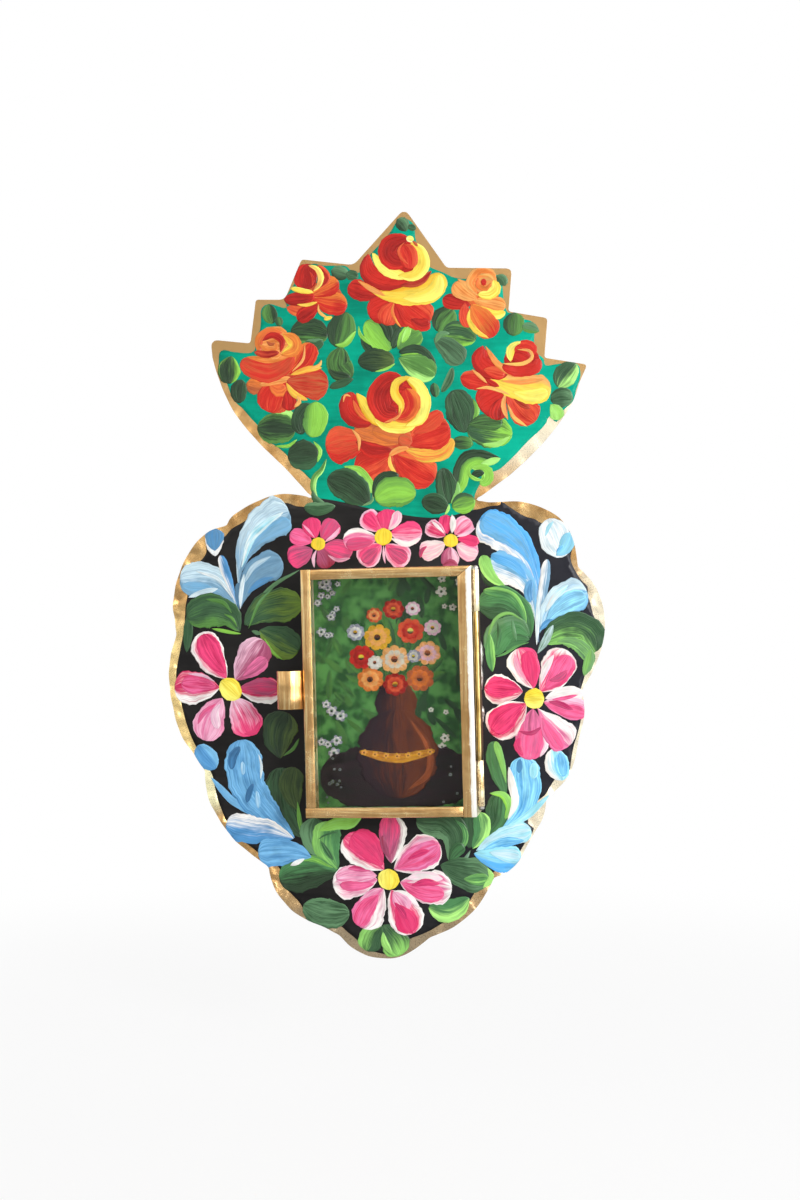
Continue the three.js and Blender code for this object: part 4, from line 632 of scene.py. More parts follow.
PAINTING["flower_foot", "petal_paint"] = (
    ("petal", "rim", "pink", "white", 11.8, -6.8, -68.6, -14.4, -69.6, -23.2, -70.8),
    ("petal", "streaks", "pink", "blush", 7.2, -7, -67.2, -14.4, -67, -22, -68.4),
    ("petal", "streaks", "hot_pink", "pink", 3.6, -8, -70.2, -14.6, -71.2, -20.6, -70.8),
    ("blade", "streaks", "fuchsia", "pink", 2.2, -9.4, -65.4, -13.8, -64.7, -17.6, -64.8),
    ("petal", "left_edge", "hot_pink", "white", 11.6, -4.4, -65, -11.6, -59.2, -19.2, -53.8),
    ("petal", "streaks", "hot_pink", "magenta", 10.6, -5, -63.4, -10, -57.4, -16, -52.4),
    ("blade", "plain", "hot_pink", "pink", 0.8, -11.4, -61.4, -15.6, -58.8, -18.8, -56),
    ("petal", "right_edge", "mauve", "white", 9.8, -1.8, -62.6, -1.2, -54, -1.2, -45.4),
    ("petal", "tip", "mauve", "hot_pink", 7.6, -2.6, -60.2, -2.6, -54, -2.4, -45.4),
    ("blade", "streaks", "mauve", "wine", 2.6, -2.4, -60.6, -4.2, -57, -5, -52.6),
    ("petal", "edges", "pink", "white", 12.8, -0.8, -64.8, 7.4, -60, 15.6, -55),
    ("petal", "streaks", "hot_pink", "candy", 10, 0.2, -64.4, 8, -60.2, 15.4, -55.6),
    ("blade", "streaks", "blush", "pink", 1.6, 5, -56.6, 9.6, -54, 14.2, -53.4),
    # Painted shade of a pressed fold under the petal
    ("blade", "streaks", "fuchsia", "hot_pink", 2.4, 4.2, -61, 8.4, -58.8, 12.2, -57.6),
    ("petal", "rim", "pink", "white", 12.4, 1.4, -69.4, 10, -70.8, 20.2, -71.2),
    ("petal", "streaks", "hot_pink", "pink", 6.6, 2, -69.8, 9.4, -72.6, 17.4, -73.2),
    ("blade", "streaks", "white", "blush", 3.8, 3.6, -68, 9.6, -67, 17, -67.8),
    ("blade", "streaks", "pink", "white", 1.4, 4, -69.4, 10, -69, 16, -70.2),
    # Painted shade of a pressed fold under the petal
    ("blade", "streaks", "fuchsia", "hot_pink", 2.6, 5.6, -70.4, 10.8, -69, 15.8, -69.6),
    ("petal", "edges", "hot_pink", "white", 12.6, -1.8, -72.2, 2.4, -79.6, 6.4, -87.6),
    ("blade", "plain", "white", "blush", 2.2, -1, -72.6, 3.4, -73.6, 8.4, -78),
    ("petal", "streaks", "pink", "blush", 6.2, -1.2, -72.8, 1.6, -76.2, 4.4, -79.6),
    ("petal", "streaks", "hot_pink", "magenta", 8.4, 0.2, -77.4, 3, -82, 5.6, -87.2),
    # Painted shade of a pressed fold under the petal
    ("blade", "streaks", "fuchsia", "hot_pink", 2.2, -0.6, -76.6, 1.8, -79.2, 3.8, -82.6),
    ("petal", "left_side", "pink", "white", 11.8, -4.6, -71.8, -9, -78.6, -12.2, -86.4),
    ("blade", "streaks", "pink", "blush", 2.8, -5.4, -71.6, -8.8, -73.4, -13.6, -77.6),
    ("petal", "streaks", "hot_pink", "pink", 6.8, -6.4, -74, -11.2, -79.4, -14, -85.4),
    ("dab", "right", "sun", "lemon", 7.8, -2.8, -64.6, -2.8, -68.4, -2.8, -72.2),
)

# The edges of the two painted grounds, in mm: x, z, x, z
BLACK_EDGE = (
    -30.5, 66.5, -36.5, 66.3, -40, 67.5, -46, 66.5, -52, 63.5, -57, 60.3, -61, 58, -63.5, 55.3, -67, 55,
    -70, 52.5, -70.3, 49.3, -73, 46, -77, 43, -78.5, 38, -77.3, 34.5, -78, 30, -78.5, 22, -80, 14,
    -81.5, 5, -80.5, -2, -79, -8, -77.5, -13.5, -75.5, -18.5, -73.5, -22.5, -70.3, -28, -68, -31.5,
    -67, -36, -65.7, -41, -64, -45.5, -62.5, -48.5, -58.5, -54, -54.5, -57, -51, -59.5, -48, -62.5,
    -43.5, -64.5, -42.5, -66.5, -42.6, -69.5, -41, -72, -38.5, -74.5, -35.5, -77.5, -33.5, -80.5,
    -30, -83.5, -25, -85.5, -21, -85.3, -17.5, -88, -14.5, -90.3, -12, -93.5, -7, -94.8, -3, -95.5,
    0, -95.2, 3.5, -92.5, 4.5, -90, 9, -88, 13, -86, 17.5, -83.3, 21, -82.5, 24.5, -79, 26.5, -75.5,
    29.5, -71, 33.5, -68, 35, -65, 38.5, -63, 43, -59.5, 46.5, -54, 49.5, -49, 47.5, -47.5, 48, -44,
    50, -40, 53.5, -37, 55, -34.5, 57.5, -31, 61.5, -29.5, 62.8, -24, 63.5, -20, 65, -15, 66, -11,
    66.7, -6, 66, 0, 66.8, 3, 68.3, 8, 70, 12.5, 72.5, 17, 73, 21, 72, 24, 70.5, 27, 69.5, 31,
    68.5, 34, 68.5, 37, 66.5, 39, 64.5, 42, 63, 45, 62.5, 48, 63.5, 52, 62.5, 56, 59.5, 60, 56, 61.3,
    52.5, 59.5, 50, 61, 46.5, 62, 43, 64, 40, 66, 37.8, 67.3, 37.5, 66.2, 34, 65.8, 30, 64.8,
    28, 64.5, 20, 62.5, 12, 61.8, 2, 63, -9.4, 65.2, -18, 67.3, -27.6, 69, -30.5, 68.5,
)
TEAL_EDGE = (
    -28, 68, -20, 66.5, -9, 63.8, 2, 61.6, 12, 60.5, 20, 61, 27, 63, 28.5, 70, 30.5, 74, 33.5, 77.5,
    37, 78.8, 40.4, 81.6, 43.8, 85, 46, 87.4, 48.4, 89.8, 51.6, 92.6, 54, 95.4, 55, 97.5, 57.5, 95.5,
    60, 99.5, 63.5, 103, 64.5, 107, 66, 112, 64.8, 116, 60.5, 116.3, 57, 116, 53.5, 115.8, 53, 118,
    50, 121, 49.8, 128, 50.8, 129.5, 48, 131.8, 46, 132.3, 43, 134.5, 40.3, 134.8, 39, 138,
    38.3, 144, 38, 148.5, 35.5, 148, 33, 149.5, 26, 147.3, 21, 147.8, 17.5, 149.5, 14, 151,
    11, 152.8, 10.5, 157, 7.5, 160.5, 7, 162, 6.5, 166.5, 5.5, 168.3, 2.5, 169.7, 0, 168.3,
    -2, 165, -6, 160.5, -8.5, 158, -12.5, 153, -13.5, 150.5, -16, 151, -18.5, 153, -23, 153.3,
    -27.5, 153.5, -30, 154.2, -34, 152.8, -36.5, 148.5, -38.8, 145, -41, 141.5, -40.3, 138.5,
    -43, 139, -47, 140, -49.5, 138.5, -49.8, 134, -50.2, 130.5, -51.7, 127, -52.3, 123, -55, 122.3,
    -60, 122.8, -64.7, 123.3, -65.5, 119, -65.3, 115, -62.6, 111.6, -60.6, 106.5, -58.6, 103.8,
    -57, 102.5, -53.5, 98.5, -50.8, 95.5, -49, 91, -45, 88.7, -42.5, 87, -39.7, 84.3, -38.5, 81.5,
    -34.5, 79, -32, 76.5, -30.5, 75, -30.8, 71.5, -29.5, 69.5,
)

# The large flowers in the printed vase: where they stand on the card, their reach in mm, and their colours
VASE_FLOWERS = (
    (-9, 4, 5.0, "orange", "peach", "clay"), (9, 4, 5.2, "rust", "orange", "rust"),
    (0, 2, 4.6, "crimson", "coral", "amber"), (-12, 12, 4.8, "red", "crimson", "sun"),
    (12, 13, 4.8, "peach", "blush", "rust"), (-6, 19, 5.2, "amber", "peach", "clay"),
    (6, 21, 5.0, "coral", "red", "lemon"), (0, 11, 5.6, "peach", "cream", "rust"),
    (-14, 21, 3.4, "lilac", "white", "amber"), (14, 22, 3.2, "blush", "cream", "amber"),
    (0, 29, 4.0, "crimson", "coral", "amber"), (-7, 27, 3.0, "coral", "peach", "rust"),
    (7, 29, 2.8, "blush", "white", "rust"), (-7, 10, 2.8, "cream", "white", "rust"),
    (7, 12, 2.6, "lilac", "cream", "sun"),
)


def blossom(x, z, reach, petals, turn, first, second, eye):
    """The strokes of one printed blossom: two rings of petals round an eye."""
    strokes = []
    for ring, size in ((0, 1.0), (1, 0.66)):
        for number in range(petals):
            angle = turn + 2 * math.pi * (number + ring / 2) / petals
            across, up = math.cos(angle) * reach * size, math.sin(angle) * reach * size
            tints = (first, second) if ring == 0 else (second, first)
            strokes.append(("petal", "base", *tints, reach * size * 0.62, x + 0.12 * across, z + 0.12 * up,
                            x + across, z + up * 0.92))
    strokes.append(("dab", "right", eye, "shade", reach * 0.42, x - 0.22 * reach, z, x + 0.22 * reach, z))
    return strokes


def vase_print():
    """The strokes of the print on the card: a dark vase of garden flowers in front of green leaves."""
    dice = random.Random(11)
    strokes = []
    for _ in range(64):
        x, z = dice.uniform(-27, 27), dice.uniform(-20, 40)
        lean, length = dice.uniform(-0.9, 0.9), dice.uniform(5, 11)
        # Painted shade: the leaves on the right half of the print take darker greens, the shadow of the box's
        # right wall
        tints = ("leaf", "pine") if x < 0 else ("pine", "forest")
        strokes.append(("leaf", "streaks", *dice.choice((tints, tints[::-1])), dice.uniform(1.6, 3.8),
                        x, z, x + length * math.sin(lean), z + length * math.cos(lean)))
    for number in range(34):
        left = number < 24
        x = dice.uniform(-28, -20) if left else dice.uniform(12, 27)
        z = dice.choice((dice.uniform(20, 40), dice.uniform(-30, 0)))
        reach, turn = dice.uniform(1.0, 2.3), dice.uniform(0, 1)
        strokes += blossom(x, z, reach, 5, turn, "lilac" if left else "cream", "white", "sage")
    strokes += [
        ("band", "streaks", "shade", "plum", 25, -28.5, -31, 0, -31.6, 28.5, -31),
        ("dab", "right", "plum", "clay", 15, 0, -14, 0, 4),
        ("dab", "right", "plum", "clay", 29, 0, -39, 0, -7),
        ("crescent", "streaks", "clay", "rust", 2.6, 3.6, -36, 11, -30, 11.4, -21, 5.2, -11),
        ("band", "streaks", "rust", "amber", 3.4, -13.8, -22, 0, -24.6, 13.8, -22),
    ]
    for number in range(7):
        x, z = 4.0 * number - 12, -22.2 - 1.6 * math.cos((number - 3) / 2)
        strokes += blossom(x, z, 1.3, 5, number, "amber", "peach", "clay")
    for _ in range(14):
        x, z = dice.choice((-1, 1)) * dice.uniform(16, 27), dice.uniform(-41, -24)
        strokes += blossom(x, z, dice.uniform(0.5, 1.0), 4, dice.uniform(0, 1), "olive", "lilac", "shade")
    for number in range(14):
        angle = math.pi * (number + 0.5) / 14
        x, z = 16 * math.cos(angle), 3 + 20 * math.sin(angle)
        strokes.append(("leaf", "right", "leaf", "pine", 4.2, 0.35 * x, 0.3 * z, 1.15 * x, 1.12 * z))
    for x, z, reach, first, second, eye in VASE_FLOWERS:
        strokes += blossom(x, z, reach, 8, 0.3 * x, first, second, eye)
    return strokes


# Finishes


class Tone:
    """A value or a colour that varies over a surface; sums on a value add the nodes that work them out."""

    def __init__(self, nodes, socket):
        self.nodes = nodes
        self.socket = socket

    def __add__(self, other):
        return self.nodes.reckon("ADD", self, other)

    def __radd__(self, other):
        return self.nodes.reckon("ADD", other, self)

    def __sub__(self, other):
        return self.nodes.reckon("SUBTRACT", self, other)

    def __rsub__(self, other):
        return self.nodes.reckon("SUBTRACT", other, self)

    def __mul__(self, other):
        return self.nodes.reckon("MULTIPLY", self, other)

    def __rmul__(self, other):
        return self.nodes.reckon("MULTIPLY", other, self)

    def __truediv__(self, other):
        return self.nodes.reckon("DIVIDE", self, other)

    def __rtruediv__(self, other):
        return self.nodes.reckon("DIVIDE", other, self)

    def __abs__(self):
        return self.nodes.reckon("ABSOLUTE", self)


class Nodes:
    """The nodes of one finish, or of the studio's light."""

    def __init__(self, tree, shader):
        self.tree = tree
        self.shader = shader

    def add(self, kind, settings=None, sockets=None, output=0):
        """One node: its settings are set first, then its sockets get values or links."""
        node = self.tree.nodes.new(kind)
        for name, value in (settings or {}).items():
            setattr(node, name, value)
        for name, value in (sockets or {}).items():
            self.plug(node.inputs[name], value)
        return Tone(self, node.outputs[output])

    def plug(self, socket, value):
        if isinstance(value, Tone):
            self.tree.links.new(value.socket, socket)
        else:
            socket.default_value = value

    def feed(self, **sockets):
        """Values or links for the shader's own sockets, named with _ for a space."""
        for name, value in sockets.items():
            self.plug(self.shader.inputs[name.replace("_", " ")], value)

    def reckon(self, operation, *values):
        return self.add("ShaderNodeMath", {"operation": operation}, dict(enumerate(values)))

    def spread(self, value, low, high, least=0.0, most=1.0):
        """A soft step of a value, from least at low to most at high."""
        sockets = {"Value": value, "From Min": low, "From Max": high, "To Min": least, "To Max": most}
        return self.add("ShaderNodeMapRange", {"interpolation_type": "SMOOTHSTEP"}, sockets)

    def mix(self, first, second, share, way="MIX"):
        settings = {"data_type": "RGBA", "blend_type": way}
        return self.add("ShaderNodeMix", settings, {0: share, 6: first, 7: second}, 2)

    def dim(self, tone, value):
        """A colour made lighter or darker by a value."""
        return self.mix(tone, value, 1.0, "MULTIPLY")

    def noise(self, at, scale, detail=2.0, roughness=0.5):
        sockets = {"Vector": at, "Scale": scale, "Detail": detail, "Roughness": roughness}
        return self.add("ShaderNodeTexNoise", {}, sockets)

    def place(self):
        """Where a point lies on the object, in mm."""
        at = self.add("ShaderNodeTexCoord", output=3)
        return self.add("ShaderNodeVectorMath", {"operation": "SCALE"}, {0: at, "Scale": 1 / MM})

    def parts(self, at):
        """The x, y and z of a place."""
        node = self.add("ShaderNodeSeparateXYZ", {}, {0: at}).socket.node
        return [Tone(self, socket) for socket in node.outputs]

    def rays(self):
        """Whether a ray comes from the camera, from a mirroring surface, or through clear glass."""
        node = self.add("ShaderNodeLightPath").socket.node
        kinds = ("Is Camera Ray", "Is Glossy Ray", "Is Transmission Ray")
        return [Tone(self, node.outputs[kind]) for kind in kinds]

    def joined(self, x, y, z):
        return self.add("ShaderNodeCombineXYZ", {}, {0: x, 1: y, 2: z})

    def reading(self, name, colour_of=False):
        """A value, or a colour, that the strokes carry."""
        return self.add("ShaderNodeAttribute", {"attribute_name": name}, {}, 0 if colour_of else 2)

    def bump(self, height, strength, depth):
        """Relief of that depth, in mm."""
        sockets = {"Strength": strength, "Distance": depth * MM, "Height": height}
        self.feed(Normal=self.add("ShaderNodeBump", {}, sockets))


def finish(name):
    """A new finish, with the nodes that make it."""
    material = bpy.data.materials.new(name)
    material.use_nodes = True
    return material, Nodes(material.node_tree, material.node_tree.nodes["Principled BSDF"])


def golden_lacquer(nodes, deep, gold, light, specks):
    """Tin under golden lacquer: clouded, with thin and worn places, dull specks and fine scratches."""
    at = nodes.place()
    x, y, z = nodes.parts(at)
    clouds = nodes.noise(at, 0.05, 3.0, 0.55)
    patches = nodes.noise(at, 0.21, 4.0, 0.6)
    grain = nodes.noise(at, 2.2, 3.0, 0.6)
    scratches = nodes.noise(nodes.joined(x * 0.9 + z * 0.5, y, z * 0.14 - x * 0.1), 2.6, 2.0)
    tone = nodes.mix(deep, gold, nodes.spread(clouds * 0.55 + patches * 0.45, 0.38, 0.56))
    tone = nodes.mix(tone, light, nodes.spread(patches, 0.55, 0.74) * 0.65)
    tone = nodes.mix(tone, colour(92, 62, 36), nodes.spread(grain, 0.66, 0.8) * specks)
    tone = nodes.mix(tone, light, nodes.spread(scratches, 0.66, 0.76) * 0.35)
    return tone, patches, grain, scratches


def plate_tin():
    """The plate's own tin: hammered gold with painted highlights on its flanks and a painted glint at the
    left, matt on the crown's steps, dull at its foot.
    """
    material, nodes = finish("plate_tin")
    tone, patches, grain, scratches = golden_lacquer(
        nodes, colour(206, 156, 94), colour(226, 182, 120), colour(244, 212, 156), specks=0.3)
    at = nodes.place()
    x, _, z = nodes.parts(at)
    stray, high_up = (patches - 0.5) * 22, nodes.spread(z, 88, 116)
    # Painted highlights: the right flanks of the heart and of the crown turn pale where the window light from
    # the right glares on them, the left flank gets a painted sheen, and a painted glint lies low on the left
    # edge
    heart = nodes.spread(x * 0.9 - z * 0.25 + stray, 42, 58) * (1 - nodes.spread(z, 40, 56))
    crown = nodes.spread(x - z + stray, -54, -44) * nodes.spread(z, 69, 90) * (1 - high_up)
    left = 1 - nodes.spread(x - z * 0.2 + stray, -72, -52)
    left = left * (1 - nodes.spread(z + stray, 18, 34)) * nodes.spread(z, -90, -74)
    painted_glint = (1 - nodes.spread(abs(z + 36), 5, 12)) * (1 - nodes.spread(x, -66, -61))
    foot = 1 - nodes.spread(z + stray, -90, -64)
    pale = heart + crown
    # The pale gold and near-white mixes below are painted light, and the metal is turned down where they lie
    tone = nodes.mix(tone, colour(252, 224, 152), left * 0.8)
    tone = nodes.mix(tone, colour(255, 248, 200), painted_glint)
    tone = nodes.mix(tone, colour(174, 138, 86), high_up * 0.95)
    tone = nodes.mix(tone, colour(252, 244, 218), pale * 0.9)
    tone = nodes.mix(tone, colour(158, 140, 112), foot)
    metal = 0.9 - high_up * 0.45 - pale * 0.55 - (left + painted_glint) * 0.35 - foot * 0.55
    nodes.feed(Base_Color=tone, Metallic=metal, Roughness=0.28 + high_up * 0.14 + (grain - 0.5) * 0.1)
    hammered, calm = nodes.noise(at, 0.19, 1.0), nodes.spread(z, 34, 62)
    deep = 1 - calm * 0.75 - high_up * 0.15 - foot * 0.5
    nodes.bump(hammered * deep + grain * 0.012 + scratches * 0.01, 1.0, 1.6)
    return material


def folded_tin(name, upright, painted_bend_highlight=False):
    """The door's tin, with lines along the fold; on the hinge side its outer bend is painted white, a painted
    highlight of the window light from the right.
    """
    material, nodes = finish(name)
    x, y, z = nodes.parts(nodes.place())
    drawn = nodes.joined(x * 1.3, y, z * 0.05) if upright else nodes.joined(x * 0.05, y, z * 1.3)
    lines = nodes.noise(drawn, 1.0, 2.0)
    tone, patches, grain, _ = golden_lacquer(
        nodes, colour(212, 166, 104), colour(232, 190, 128), colour(246, 216, 160), specks=0.12)
    tone = nodes.mix(tone, colour(186, 136, 82), nodes.spread(lines, 0.52, 0.66) * 0.6)
    tone = nodes.mix(tone, colour(255, 228, 170), (1 - nodes.spread(lines, 0.34, 0.46)) * 0.7)
    metal = 0.88 + (patches - 0.5) * 0.1
    if painted_bend_highlight:
        # Painted highlight: a strip along the outer bend on the hinge side is painted near white where the
        # window light from the right glares on it
        worn = nodes.spread(x + z * LEAN + (patches - 0.5) * 1.2, 28.0, 28.5)
        tone = nodes.mix(tone, colour(255, 251, 240), worn)
        metal = metal - worn * 0.55
    nodes.feed(Base_Color=tone, Metallic=metal, Roughness=0.24 + (patches - 0.5) * 0.2 + (grain - 0.5) * 0.12)
    nodes.bump(lines * 0.6 + patches * 0.3 + grain * 0.1, 0.5, 0.16)
    return material


def side_tin(name, seam, metal):
    """The pale tin of the box's side and of the hinge, its paleness a painted highlight of the window light
    from the right, with a brown ragged seam at that place across.
    """
    material, nodes = finish(name)
    x, y, z = nodes.parts(nodes.place())
    # The pale colours are a painted highlight: the glare of the window light from the right on the box's side
    # and the hinge
    tone, patches, grain, _ = golden_lacquer(
        nodes, colour(214, 180, 122), colour(250, 238, 202), colour(255, 252, 240), specks=0.25)
    ragged = nodes.noise(nodes.joined(x * 0.4, y * 0.1, z * 0.5), 1.0, 4.0, 0.7)
    off = abs(x + z * LEAN - seam + (ragged - 0.5) * 1.1)
    brown = (1 - nodes.spread(off, 0.08, 0.34)) * nodes.spread(ragged, 0.36, 0.52)
    tone = nodes.mix(tone, colour(104, 76, 42), brown)
    nodes.feed(Base_Color=tone, Metallic=metal, Roughness=0.3 + (patches - 0.5) * 0.25 + (grain - 0.5) * 0.15)
    nodes.bump(patches * 0.6 + ragged * 0.3 + grain * 0.1, 0.6, 0.25)
    return material


def barrel_tin():
    """The door's knuckle: golden tin with painted shade of the gap along each side of the roll."""
    material, nodes = finish("barrel_tin")
    x, y, z = nodes.parts(nodes.place())
    tone, patches, grain, _ = golden_lacquer(
        nodes, colour(176, 146, 84), colour(214, 186, 118), colour(250, 236, 190), specks=0.3)
    ragged = nodes.noise(nodes.joined(x * 0.4, y * 0.1, z * 0.4), 1.0, 3.0, 0.6)
    # Painted shade: dark along both sides of the roll, where the gaps to the channel and to the box lie in
    # shadow
    off = abs(x + z * LEAN - 31.2 + (ragged - 0.5) * 0.3)
    tone = nodes.mix(tone, colour(66, 48, 28), nodes.spread(off, 0.5, 0.82))
    nodes.feed(Base_Color=tone, Metallic=0.7, Roughness=0.34 + (patches - 0.5) * 0.2 + (grain - 0.5) * 0.15)
    nodes.bump(patches * 0.6 + ragged * 0.3 + grain * 0.1, 0.6, 0.2)
    return material


def bare_tin():
    """The unpainted back: grey tin with a few runs of lacquer and dull spots."""
    material, nodes = finish("bare_tin")
    at = nodes.place()
    x, y, z = nodes.parts(at)
    rolled = nodes.noise(nodes.joined(x * 0.06, y, z * 1.2), 1.0, 3.0)
    clouds = nodes.noise(at, 0.04, 4.0, 0.6)
    spots = nodes.noise(at, 0.5, 3.0, 0.6)
    tone = nodes.mix(colour(150, 150, 148), colour(186, 186, 182), rolled)
    tone = nodes.mix(tone, colour(178, 150, 104), nodes.spread(clouds, 0.52, 0.66) * 0.6)
    tone = nodes.mix(tone, colour(112, 98, 84), nodes.spread(spots, 0.62, 0.76) * 0.7)
    nodes.feed(Base_Color=tone, Metallic=0.92, Roughness=0.36 + (spots - 0.5) * 0.3)
    nodes.bump(rolled * 0.4 + spots * 0.6, 0.4, 0.12)
    return material


def ground_paint(name, first, second, painted_light_tint, gloss):
    """A painted ground: broad brush marks, thinner where the brush lifted, and lighter towards the right,
    where light from the window is painted onto it.
    """
    material, nodes = finish(name)
    at = nodes.place()
    x, y, z = nodes.parts(at)
    marks = nodes.noise(nodes.joined(x * 0.1 + z * 0.03, y, z * 0.9), 0.8, 4.0, 0.55)
    clouds = nodes.noise(at, 0.06, 3.0)
    grain = nodes.noise(at, 1.7, 3.0, 0.6)
    tone = nodes.mix(first, second, nodes.spread(marks * 0.28 + clouds * 0.72, 0.36, 0.64))
    # Painted light: towards the right the ground turns to its third colour, a painted bluish reflection on
    # the black and painted lit teal on the teal
    tone = nodes.mix(tone, painted_light_tint, nodes.spread(x / 60 + (clouds - 0.5) * 1.2, -0.3, 1.3) * 0.5)
    tone = nodes.dim(tone, 0.92 + grain * 0.16)
    nodes.feed(Base_Color=tone, Roughness=0.42 + (marks - 0.5) * 0.4, Specular_IOR_Level=gloss,
               Coat_Weight=gloss * 0.14, Coat_Roughness=0.25)
    nodes.bump(marks * 0.7 + grain * 0.3, 0.5, 0.1)
    return material


def brushed_paint(name, streak, rough, gloss=0.28):
    """Enamel laid with a two-loaded brush: the bristles draw the second colour through the first."""
    material, nodes = finish(name)
    across, along = nodes.reading("across"), nodes.reading("along")
    seed, load = nodes.reading("seed"), nodes.reading("load")
    bristles = nodes.noise(nodes.joined(across, along * 0.06, seed * 17), 1.0, 3.0, 0.62)
    hairs = nodes.noise(nodes.joined(across * 2.5, along * 0.1, seed * 31), 1.0, 2.0, 0.6)
    bristles, hairs = nodes.spread(bristles, 0.2, 0.8), nodes.spread(hairs, 0.25, 0.75)
    pools = nodes.noise(nodes.joined(across * 0.3, along * 0.16, seed * 9), 1.0, 2.0)
    share = load + (bristles - 0.5) * streak + (hairs - 0.5) * 0.26 + (pools - 0.5) * 0.7
    share = nodes.spread(share, -0.05, 1.05)
    tone = nodes.mix(nodes.reading("first", True), nodes.reading("second", True), share)
    tone = nodes.dim(tone, 0.62 + hairs * 0.2 + bristles * 0.14 + nodes.spread(pools, 0.25, 0.6) * 0.22)
    nodes.feed(Base_Color=tone, Roughness=rough + (hairs - 0.5) * 0.3, Specular_IOR_Level=gloss,
               Coat_Weight=0.05, Coat_Roughness=0.2)
    nodes.bump(bristles * 0.55 + hairs * 0.45, 0.55, 0.16)
    return material


def card_paper():
    """The card's printed ground: green, mottled like leaves out of focus, on matt paper."""
    material, nodes = finish("card_paper")
    at = nodes.place()
    leaves = nodes.noise(at, 0.22, 3.0)
    fibres = nodes.noise(at, 3.5, 2.0)
    tone = nodes.mix(colour(36, 82, 40), colour(88, 150, 76), nodes.spread(leaves, 0.36, 0.66))
    tone = nodes.dim(tone, 0.88 + fibres * 0.24)
    nodes.feed(Base_Color=tone, Roughness=0.6 + (fibres - 0.5) * 0.2, Specular_IOR_Level=0.15)
    nodes.bump(fibres, 0.2, 0.03)
    return material


def window_pane():
    """Clear thin glass, hardly marked."""
    material, nodes = finish("window_pane")
    smears = nodes.noise(nodes.place(), 0.12, 3.0)
    nodes.feed(Base_Color=colour(250, 252, 251), IOR=1.2, Transmission_Weight=1.0,
               Roughness=0.01 + nodes.spread(smears, 0.5, 0.8) * 0.05)
    return material


def drawn_wire():
    """Drawn steel wire, dull grey with fine lines."""
    material, nodes = finish("drawn_wire")
    at = nodes.place()
    lines = nodes.noise(at, 2.4, 3.0)
    stains = nodes.noise(at, 0.3, 3.0)
    tone = nodes.mix(colour(120, 118, 114), colour(176, 174, 168), lines)
    tone = nodes.mix(tone, colour(104, 84, 62), nodes.spread(stains, 0.55, 0.72) * 0.6)
    nodes.feed(Base_Color=tone, Metallic=0.95, Roughness=0.34 + (lines - 0.5) * 0.3)
    nodes.bump(lines, 0.4, 0.06)
    return material


def soft_solder():
    """Lumpy solder, bright where it flowed and grey where the flux stayed."""
    material, nodes = finish("soft_solder")
    at = nodes.place()
    lumps = nodes.noise(at, 0.7, 4.0, 0.6)
    frost = nodes.noise(at, 4.0, 2.0)
    tone = nodes.mix(colour(132, 128, 120), colour(214, 212, 206), nodes.spread(lumps, 0.35, 0.62))
    nodes.feed(Base_Color=tone, Metallic=0.9, Roughness=0.3 + frost * 0.25)
    nodes.bump(lumps * 0.8 + frost * 0.2, 0.7, 0.3)
    return material


FINISHES = {
    "plate_tin": plate_tin(),
    "upright_tin": folded_tin("upright_tin", upright=True),
    "level_tin": folded_tin("level_tin", upright=False),
    "highlit_bend_tin": folded_tin("highlit_bend_tin", upright=True, painted_bend_highlight=True),
    "box_tin": side_tin("box_tin", seam=20.0, metal=0.45),
    "hinge_tin": side_tin("hinge_tin", seam=30.6, metal=0.7),
    "barrel_tin": barrel_tin(),
    "bare_tin": bare_tin(),
    # The third colour of each ground is painted light from the right
    "black_ground": ground_paint(
        "black_ground", colour(14, 12, 12), colour(26, 24, 23), colour(34, 36, 50), gloss=0.22),
    "teal_ground": ground_paint(
        "teal_ground", colour(0, 128, 104), colour(0, 164, 134), colour(0, 198, 166), gloss=0.1),
    "petal_paint": brushed_paint("petal_paint", streak=0.85, rough=0.34),
    "plume_paint": brushed_paint("plume_paint", streak=0.95, rough=0.36),
    "rose_paint": brushed_paint("rose_paint", streak=1.0, rough=0.34, gloss=0.2),
    "leaf_paint": brushed_paint("leaf_paint", streak=0.8, rough=0.36),
    "print_ink": brushed_paint("print_ink", streak=0.6, rough=0.6, gloss=0.06),
    "card_paper": card_paper(),
    "window_pane": window_pane(),
    "drawn_wire": drawn_wire(),
    "soft_solder": soft_solder(),
}


# Shapes


def placed(name, data):
    """A new object of that data, in the scene."""
    made = bpy.data.objects.new(name, data)
    bpy.context.collection.objects.link(made)
    return made


def piece(name, places, faces, finishes, second_from=None, readings=None):
    """A mesh from places in mm that rides on the box; faces from second_from on take the second finish."""
    mesh = bpy.data.meshes.new(name)
    mesh.from_pydata((np.asarray(places, float) * MM).tolist(), [], faces)
    mesh.polygons.foreach_set("use_smooth", [True] * len(mesh.polygons))
    for name_of_finish in finishes:
        mesh.materials.append(FINISHES[name_of_finish])
    if second_from is not None:
        indices = [0] * second_from + [1] * (len(mesh.polygons) - second_from)
        mesh.polygons.foreach_set("material_index", indices)
    for reading, values in (readings or {}).items():
        values = np.asarray(values, np.float32)
        if values.ndim == 1:
            mesh.attributes.new(reading, "FLOAT", "POINT").data.foreach_set("value", values)
        else:
            mesh.attributes.new(reading, "FLOAT_COLOR", "POINT").data.foreach_set("color", values.ravel())
    mesh.update()
    made = placed(name, mesh)
    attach(made, "box")
    return made


